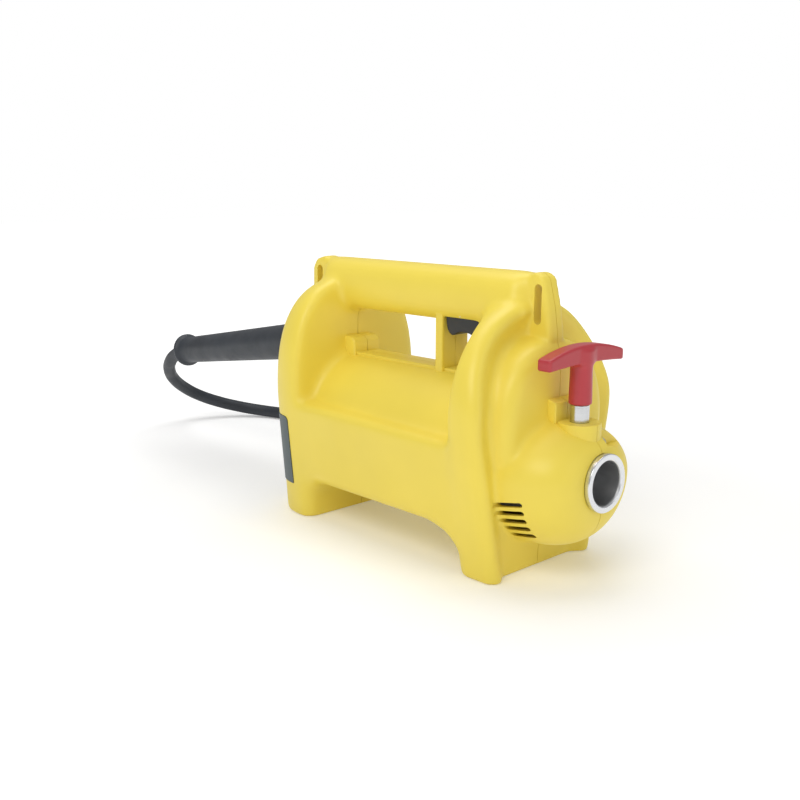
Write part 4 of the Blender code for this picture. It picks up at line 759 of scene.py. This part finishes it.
def crisp_additions():
    """Post, latch lug, sill strip, lock boss and the block behind the lock, with crisp edges."""
    boss = turned([(0.085, 0.0), (BOSS_Z, 0.0), (BOSS_Z, BOSS_RADIUS), (0.085, BOSS_RADIUS)], PIN_PLACE, UP, 72,
                  0.0006)
    wedge = softened(prism([(0.124, 0.106), (0.146, 0.106), (0.146, 0.1300), (0.124, 0.1368)], -0.0130, 0.0130, "Y"),
                     0.0008)
    lug = softened(prism([(-0.094, 0.130), (-0.0705, 0.130), (-0.0705, 0.1500), (-0.0745, 0.1536), (-0.094, 0.1548)],
                         -0.0145, 0.0145, "Y"), 0.0016)
    post = softened(block((POST_X[0], -POST_HALF, SILL_Z - 0.010), (POST_X[1], POST_HALF, HANDLE_BOTTOM + 0.010)),
                    0.0018)
    strip = softened(block((-0.100, -0.012, SILL_Z - 0.010), (0.090, 0.012, SILL_Z + 0.0008)), 0.0007)
    return [scratch("addition", bm) for bm in (boss, wedge, lug, post, strip)]


def stadium(centre, length, height, steps=8):
    """Slot outline with round ends."""
    radius, run = 0.5 * height, 0.5 * (length - height)
    points = []
    for side, turn in ((1, -90), (-1, 90)):
        for i in range(steps + 1):
            angle = math.radians(turn + 180.0 * i / steps)
            points.append((centre[0] + side * run + radius * math.cos(angle), centre[1] + radius * math.sin(angle)))
    return points


def upright_slot(centre, width, height):
    return [(centre[0] + q - centre[1], centre[1] + p - centre[0]) for p, q in stadium(centre, height, width)]


def shell_openings():
    """Everything cut through the closed housing before it is parted."""
    cutters = [
        prism(upright_slot((0.12325, 0.1975), 0.0065, 0.029), -0.03, 0.03, "Y"),
        prism(upright_slot((-0.12375, 0.1975), 0.0075, 0.029), -0.03, 0.03, "Y"),
        rod(0.10, 0.20, SLEEVE_RADIUS + GAP, AXIS, ALONG, 96),
        rod(0.08, 0.15, BUSH_RADIUS + GAP, PIN_PLACE, UP, 48),
        rod(0.003, 0.05, 0.0177, BOOT_ROOT, BOOT_DIRECTION, 64),
        softened(block((ROCKER_X[0] - 0.0006, -ROCKER_HALF - 0.0005, HANDLE_BOTTOM - 0.006),
                       (ROCKER_X[1] + 0.0006, ROCKER_HALF + 0.0005, ROCKER_PIVOT[2] + 0.004)), 0.0012),
        block((REAR_X - 0.02, -FILTER_HALF, FILTER_Z[0] + 0.006), (REAR_X + 0.012, FILTER_HALF, FILTER_Z[1] - 0.006)),
    ]
    for i, reach in enumerate(VENT_REACH):
        vent = prism(stadium((0.0, 0.0), VENT_X[1] - VENT_X[0], VENT_HEIGHT, 5), -reach, reach, "Y")
        place = Matrix.Translation((sum(VENT_X) / 2, 0.0, VENT_TOP_Z - i * VENT_PITCH))
        vent.transform(place @ Matrix.Rotation(-VENT_TILT, 4, "Y"))
        cutters.append(vent)
    return [scratch("opening", bm) for bm in cutters]


def screw_tubes(radius, low, high, segments=24):
    return [scratch("screw_tube", rod(low, high, radius, (x, 0, z), ACROSS, segments)) for x, z in SCREW_PLACES]


def filter_block(grow):
    """Space of the filter cover, with rounded upper front corners."""
    low, high = FILTER_Z[0] - grow, FILTER_Z[1] + grow
    outline = [(REAR_X - 0.02, low), (FILTER_FRONT_X - 0.001 + grow, low), (FILTER_FRONT_X + grow, low + 0.001)]
    for i in range(7):
        angle = math.radians(15.0 * i)
        outline.append((FILTER_FRONT_X + grow - COVER_CORNER * (1.0 - math.cos(angle)),
                        high - COVER_CORNER * (1.0 - math.sin(angle))))
    outline.append((REAR_X - 0.02, high))
    return scratch("filter_block", prism(outline, -0.1, 0.1, "Y"))


SOLID_PLACES = [((0.098, -0.02, 0.178), (0.145, 0.02, 0.24)), ((-0.145, -0.02, 0.178), (-0.100, 0.02, 0.24)),
                ((0.1600, 0.0, 0.0950), (0.1790, 0.03, 0.125))]     # strap slots and nose pocket


def housing():
    """The two moulded shells and the filter cover, all from the one field."""
    grid, origin = housing_grid()
    outer = surface(grid, origin, CELL)
    combine(outer, crisp_additions(), "UNION")
    inner = surface(grid[::2, ::2, ::2] + np.float32(WALL), origin, 2 * CELL)
    thick = [block(*ends) for ends in SOLID_PLACES]
    combine(inner, screw_tubes(SCREW_BOSS, -0.1, 0.1) + [scratch("thick", bm) for bm in thick], "DIFFERENCE")
    combine(outer, [inner], "DIFFERENCE")
    combine(outer, shell_openings(), "DIFFERENCE")
    rear = grid[:int(0.060 / CELL)]
    recess = combine(filter_block(GAP), [surface(rear + np.float32(FILTER_DEPTH), origin, CELL)], "DIFFERENCE")
    combine(outer, [recess], "DIFFERENCE")
    left = outer.copy()
    left.data = outer.data.copy()
    bpy.context.scene.collection.objects.link(left)
    combine(outer, [scratch("keep", block((-0.3, -0.2, -0.1), (0.4, -SEAM / 2, 0.4)))], "INTERSECT")
    combine(left, [scratch("keep", block((-0.3, SEAM / 2, -0.1), (0.4, 0.2, 0.4)))], "INTERSECT")
    combine(outer, screw_tubes(0.0024, -0.0123, 0.1, 16), "DIFFERENCE")
    pocket = scratch("nose_pocket", block((0.1635, HEAD_Y, 0.0978), (0.1752, 0.05, 0.14)))
    combine(left, screw_tubes(0.0024, -0.0123, 0.1, 16) + screw_tubes(SCREW_HEAD + GAP, HEAD_Y - GAP, 0.1)
            + [pocket], "DIFFERENCE")
    finish_piece(outer, "right_shell", "yellow", "housing", "right_housing")
    finish_piece(left, "left_shell", "yellow", "housing", "left_housing")
    filter_cover(rear, origin)


def filter_cover(rear, origin):
    """Snap-on intake cover with louvres, curved round the rear corners."""
    skin = surface(rear - np.float32(FILTER_PROUD), origin, CELL)
    cover = combine(filter_block(0.0), [skin], "INTERSECT")
    combine(cover, [surface(rear + np.float32(FILTER_DEPTH - GAP), origin, CELL)], "DIFFERENCE")
    louvres = []
    for row in range(6):
        z = FILTER_Z[0] + 0.0141 + 0.0068 * row
        for middle in (-0.0175, 0.0175):
            slot = prism(stadium((middle, z), 0.032, 0.0032), REAR_X - 0.02, REAR_X + 0.010, "X")
            louvres.append(scratch("louvre", slot))
    combine(cover, louvres, "DIFFERENCE")
    finish_piece(cover, "intake_cover", "grey", "filter", "filter_cover")


# ---------------------------------------------------------------- coupling, lock and switch
PIN_RADIUS, PIN_TOP = 0.0040, 0.1440
T_HALF, T_TOP, T_DEPTH, T_DROOP, T_THICK = 0.042, 0.1725, 0.0130, 0.0070, 0.0120
STEM_RADIUS = 0.0083
HANDLE_CELL = 0.00062


def lock_handle():
    """Red T-handle: a crowned bar that runs into its round stem with fillets."""
    axes = [np.arange(low, high, HANDLE_CELL) for low, high in ((-0.0105, 0.0107), (-0.0440, 0.0441), (0.128, 0.175))]
    x, y, z = (axis.reshape([-1 if k == n else 1 for k in range(3)]) for n, axis in enumerate(axes))
    bow = np.minimum((y / T_HALF) ** 2, 1.2)
    crest, belly = T_TOP - T_DROOP * bow, T_TOP - T_DEPTH - 0.0020 * bow
    side = round_cut(np.abs(x) - T_THICK / 2, np.abs(y) - T_HALF + 0.0 * x, 0.0020)
    bar = round_cut(side, np.maximum(z - crest, belly - z), 0.0014)
    radius = STEM_RADIUS - 0.0004 * ramp_between(z, BUSH_TOP, T_TOP - T_DEPTH)
    stem = round_cut(np.hypot(x, y) - radius, np.maximum(BUSH_TOP + GAP - z, z - T_TOP + 0.004), 0.0009)
    field = round_join(bar + 0.0 * x, stem + 0.0 * x, 0.0042).astype(np.float32)
    origin = (axes[0][0] + PIN_X + OFFSET.x, axes[1][0], axes[2][0])
    handle = surface(blurred(field, 0.7), origin, HANDLE_CELL)
    bore = scratch("handle_bore", rod(0.12, PIN_TOP + GAP, PIN_RADIUS + GAP, PIN_PLACE, UP, 48))
    combine(handle, [bore], "DIFFERENCE")
    finish_piece(handle, "tee_handle", "red", "lock", "lock_handle", 50.0)


def lock_bush():
    profile = [(0.1010, PIN_RADIUS + GAP), (0.1035, PIN_RADIUS + GAP), (0.1035, 0.0056), (0.1265, 0.0056),
               (0.1265, PIN_RADIUS + GAP), (BUSH_TOP, PIN_RADIUS + GAP), (BUSH_TOP, BUSH_RADIUS),
               (0.1010, BUSH_RADIUS)]
    bush = scratch("bush", turned(profile, PIN_PLACE, UP, 96, 0.0004))
    finish_piece(bush, "steel_bush", "bush", "housing", "lock_bush")


def coupling_ring():
    """Aluminium sleeve: a bright turned ring outside; inside, the bore has a rougher finish and a darker colour that is
    painted shade.
    """
    profile = [(SLEEVE_REAR_X, BORE_NECK), (0.1505, BORE_NECK), (0.1535, BORE_RADIUS - 0.0012),
               (RING_X - 0.0012, BORE_RADIUS), (RING_X, BORE_RADIUS + 0.0010), (RING_X, RING_RADIUS),
               (NOSE_X + GAP, RING_RADIUS), (NOSE_X + GAP, SLEEVE_RADIUS), (SLEEVE_REAR_X, SLEEVE_RADIUS)]
    ring = scratch("ring", turned(profile, AXIS, ALONG, 144, 0.0007))
    hole = scratch("pin_hole", rod(AXIS_Z + 0.008, 0.11, PIN_RADIUS + GAP, PIN_PLACE, UP, 48))
    combine(ring, [hole], "DIFFERENCE")
    finish_piece(ring, "coupling_ring", ["ring", "bore"], "housing", "coupling_sleeve")
    # faces inside the bore take the darker copy of the aluminium: painted shade
    for face in ring.data.polygons:
        offset = face.center - Vector((0.0, 0.0, AXIS_Z))
        radius = math.hypot(offset.y, offset.z)
        inward = face.normal.y * offset.y + face.normal.z * offset.z < 0
        if inward and radius < BORE_RADIUS + 0.0004 and offset.x < RING_X + OFFSET.x - 0.0004:
            face.material_index = 1


def drive_socket():
    """Steel socket on the shaft's end, with a square hole that is chamfered at its mouth."""
    profile = [(0.1185, 0.0050 + GAP / 2), (0.1330, 0.0050 + GAP / 2), (0.1330, 0.0), (0.1500, 0.0),
               (0.1500, 0.0100), (0.1185, 0.0100)]
    body = scratch("socket", turned(profile, AXIS, ALONG, 72, 0.0006))
    square = scratch("square", block((0.1360, -0.0042, AXIS_Z - 0.0042), (0.16, 0.0042, AXIS_Z + 0.0042)))
    flare = scratch("flare", loft([[(x, half * a, AXIS_Z + half * b) for a, b in ((-1, -1), (1, -1), (1, 1), (-1, 1))]
                                   for x, half in ((0.1492, 0.0042), (0.1508, 0.0058))]))
    combine(body, [square, flare], "DIFFERENCE")
    finish_piece(body, "square_socket", "socket", "armature", "drive_socket")


def switch_rocker():
    """Rocker with a finger hollow on its underside."""
    half = 0.5 * (ROCKER_X[1] - ROCKER_X[0]) - 0.0005
    hollow = [(half, 0, -0.0060), (0.0160, 0, -0.0112), (0.0128, 0, -0.0152), (0.0098, 0, -0.0155),
              (0.0050, 0, -0.0139)]
    mirrored = [(-x, y, z) for x, y, z in reversed(hollow)]
    under = smooth_route(hollow + [(0.0, 0, -0.0134)] + mirrored, 0.0012)
    outline = [(half, 0.0005)] + [(p.x, p.z) for p in under] + [(-half, 0.0005), (-0.006, 0.0036), (0.006, 0.0036)]
    shape = softened(prism(outline, -ROCKER_HALF, ROCKER_HALF, "Y"), 0.0009, 3, 40.0)
    shape.transform(Matrix.Translation(ROCKER_PIVOT) @ Matrix.Rotation(-ROCKER_TILT, 4, "Y"))
    rocker = scratch("rocker", shape)
    combine(rocker, [scratch("rocker_hole", rod(-0.1, 0.1, 0.0018, ROCKER_PIVOT, ACROSS, 32))], "DIFFERENCE")
    finish_piece(rocker, "trigger_rocker", "black", "rocker", "switch_rocker")


def housing_screws():
    """Cross-head screws down the left half's wells."""
    for number, (x, z) in enumerate(SCREW_PLACES, 1):
        profile = [(-0.012, 0.0), (HEAD_Y + 0.0027, 0.0), (HEAD_Y + 0.0027, 0.0022), (HEAD_Y + 0.0017, SCREW_HEAD),
                   (HEAD_Y, SCREW_HEAD), (HEAD_Y, 0.0021), (-0.0105, 0.0021), (-0.012, 0.0012)]
        screw = scratch("screw", turned(profile, (x, 0, z), ACROSS, 40, 0.0004))
        arms = []
        for wide, tall in ((0.0021, 0.00045), (0.00045, 0.0021)):
            low, high = (x - wide, HEAD_Y + 0.0009, z - tall), (x + wide, HEAD_Y + 0.01, z + tall)
            arms.append(scratch("recess", block(low, high)))
        combine(screw, arms, "DIFFERENCE")
        finish_piece(screw, f"cross_screw_{number}", "screw", "housing", f"housing_screw_{number}")


# ---------------------------------------------------------------- boot, lead and plug
RUN_ROUTE = [
    (-0.3681, 0.0000, 0.1062), (-0.3990, 0.0026, 0.0960), (-0.4270, 0.0115, 0.0801),
    (-0.4496, 0.0276, 0.0621), (-0.4635, 0.0510, 0.0440), (-0.4665, 0.0794, 0.0277),
    (-0.4560, 0.1082, 0.0160), (-0.4350, 0.1329, 0.0092), (-0.4071, 0.1490, 0.0070),
    (-0.3749, 0.1562, 0.0069), (-0.3419, 0.1560, 0.0069), (-0.3094, 0.1500, 0.0069),
    (-0.2777, 0.1403, 0.0069), (-0.2465, 0.1295, 0.0069), (-0.2150, 0.1195, 0.0069),
    (-0.1840, 0.1125, 0.0069), (-0.1520, 0.1098, 0.0069), (-0.1200, 0.1097, 0.0069),
    (-0.0950, 0.1099, 0.0069),
]
TAIL_ROUTE = [(-0.0950, 0.2740, 0.0203), (-0.1190, 0.2744, 0.0198), (-0.1420, 0.2752, 0.0190),
              (-0.1647, 0.2760, 0.0185)]
COIL_CENTRE = (-0.070, 0.192)
COIL_LANES = (0.0818, 0.0682)               # outer and inner radius of the lead's line
COIL_LEVELS = (0.0069, 0.0205)
PLUG_BACK = (-0.1650, 0.2760, 0.0185)
PLUG_RADIUS, PLUG_PIN, PLUG_PIN_Y = 0.0183, 0.0024, (-0.0095, 0.0095)


def smooth_route(route, spacing):
    """Points about spacing apart on the smooth curve through a route's own points."""
    points = [Vector(point) for point in route]
    ends = [2 * points[0] - points[1]] + points + [2 * points[-1] - points[-2]]
    fine = []
    for a, b, c, d in zip(ends, ends[1:], ends[2:], ends[3:]):
        for step in range(24):
            t = step / 24
            fine.append(0.5 * (2 * b + (c - a) * t + (2 * a - 5 * b + 4 * c - d) * t ** 2
                               + (3 * b - a - 3 * c + d) * t ** 3))
    fine.append(points[-1])
    length = sum((q - p).length for p, q in zip(fine, fine[1:]))
    count = max(2, round(length / spacing))
    picked, run, target = [fine[0]], 0.0, length / count
    for p, q in zip(fine, fine[1:]):
        step = (q - p).length
        while run + step >= target - 1e-9 and len(picked) < count:
            picked.append(p.lerp(q, (target - run) / step))
            target += length / count
        run += step
    return picked + [fine[-1]]


def coil_points():
    """Three and a half turns in two lanes and two layers, each crossing where the other is clear."""
    points = []
    for degrees in range(-90, 1171, 12):
        inner = float(ramp_between(degrees, 195, 262) - ramp_between(degrees, 790, 860))
        radius = COIL_LANES[0] + inner * (COIL_LANES[1] - COIL_LANES[0])
        level = COIL_LEVELS[0] + float(ramp_between(degrees, 498, 572)) * (COIL_LEVELS[1] - COIL_LEVELS[0])
        angle = math.radians(degrees)
        points.append(Vector((COIL_CENTRE[0] + radius * math.cos(angle), COIL_CENTRE[1] + radius * math.sin(angle),
                              level)))
    return points


def free_lead(plug_pieces):
    """The lead from the boot's end, along the floor and round its coil, to the plug."""
    points = smooth_route(RUN_ROUTE, 0.027) + coil_points() + smooth_route(TAIL_ROUTE, 0.020)
    points = [point + OFFSET for point in points]
    curve = bpy.data.curves.new("free_lead", "CURVE")
    curve.dimensions = "3D"
    spline = curve.splines.new("BEZIER")
    spline.bezier_points.add(len(points) - 1)
    for knot, point in zip(spline.bezier_points, points):
        knot.co = point
        knot.handle_left_type = knot.handle_right_type = "AUTO"
    spline.resolution_u = 6
    curve.bevel_depth = CORD_RADIUS
    curve.bevel_resolution = 9
    curve.use_fill_caps = True
    curve.materials.append(MATERIALS["cord"])
    lead = bpy.data.objects.new("free_lead", curve)
    bpy.context.scene.collection.objects.link(lead)
    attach(lead, "housing")
    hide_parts("cord_run", "cord_coil", "cord_tail")


def cable_boot():
    """Long tapered rubber boot with a thin flange at its end."""
    bore, end = 0.0072, BOOT_LENGTH
    taper = [(0.0165 + share * (end - 0.0240), 0.0177 - 0.0041 * share ** 0.9)
             for share in (i / 24 for i in range(25))]
    profile = [(0.0008, bore), (end - 0.0030, bore), (end, bore + 0.0022), (end, 0.0162)]
    profile += [(end - 0.0009, 0.0170), (end - 0.0032, 0.0170), (end - 0.0040, 0.0163), (end - 0.0052, 0.0146)]
    profile += list(reversed(taper))
    profile += [(0.0155, 0.0171), (0.0048, 0.0171), (0.0048, 0.0205), (0.0008, 0.0205)]
    boot = scratch("boot", turned(profile, BOOT_ROOT, BOOT_DIRECTION, 128))
    finish_piece(boot, "tapered_boot", "boot", "housing", "cable_boot", 42.0)


def mains_plug():
    """Rubber plug with a ribbed grip, a recessed face and two round pins."""
    x, y, z = PLUG_BACK
    neck = [(0.0, 0.0), (0.0, 0.0088), (0.0012, 0.0100)]
    for rib in range(4):
        start = 0.0030 + 0.0034 * rib
        neck += [(start, 0.0100), (start + 0.0004, 0.0114), (start + 0.0020, 0.0115), (start + 0.0024, 0.0101)]
    flare = [(0.0175, 0.0116), (0.0205, 0.0142), (0.0240, 0.0168), (0.0275, 0.0179), (0.0310, PLUG_RADIUS),
             (0.0470, PLUG_RADIUS), (0.0480, PLUG_RADIUS - 0.0010), (0.0480, 0.0165), (0.0474, 0.0160),
             (0.0440, 0.0158), (0.0440, 0.0)]
    body = scratch("plug", turned(neck + flare, PLUG_BACK, (-1, 0, 0), 96))
    cuts = [rod(0.0340, 0.1, PLUG_PIN + GAP, (x, y + side, z), (-1, 0, 0), 32) for side in PLUG_PIN_Y]
    for i in range(28):
        if i % 7 == 3:
            continue
        angle = math.tau * (i + 0.5) / 28
        place = (x, y + 0.0190 * math.cos(angle), z + 0.0190 * math.sin(angle))
        cuts.append(rod(0.0335, 0.0450, 0.0012, place, (-1, 0, 0), 16))
    combine(body, [scratch("plug_cut", cut) for cut in cuts], "DIFFERENCE")
    finish_piece(body, "lead_plug", "plug", "housing", "plug_body")
    pieces = [body]
    for number, side in enumerate(PLUG_PIN_Y, 1):
        profile = [(0.0343, 0.0), (0.0343, PLUG_PIN), (0.0610, PLUG_PIN), (0.0624, PLUG_PIN - 0.0006),
                   (0.0630, PLUG_PIN - 0.0016), (0.0630, 0.0)]
        pin = scratch("pin", turned(profile, (x, y + side, z), (-1, 0, 0), 48))
        finish_piece(pin, f"contact_pin_{number}", "pins", "housing", f"plug_pin_{number}")
        pieces.append(pin)
    return pieces


# ---------------------------------------------------------------- assembly
camera()
dress_nodes()
housing()
housing_screws()
lock_handle()
lock_bush()
coupling_ring()
drive_socket()
switch_rocker()
cable_boot()
free_lead(mains_plug())
studio()
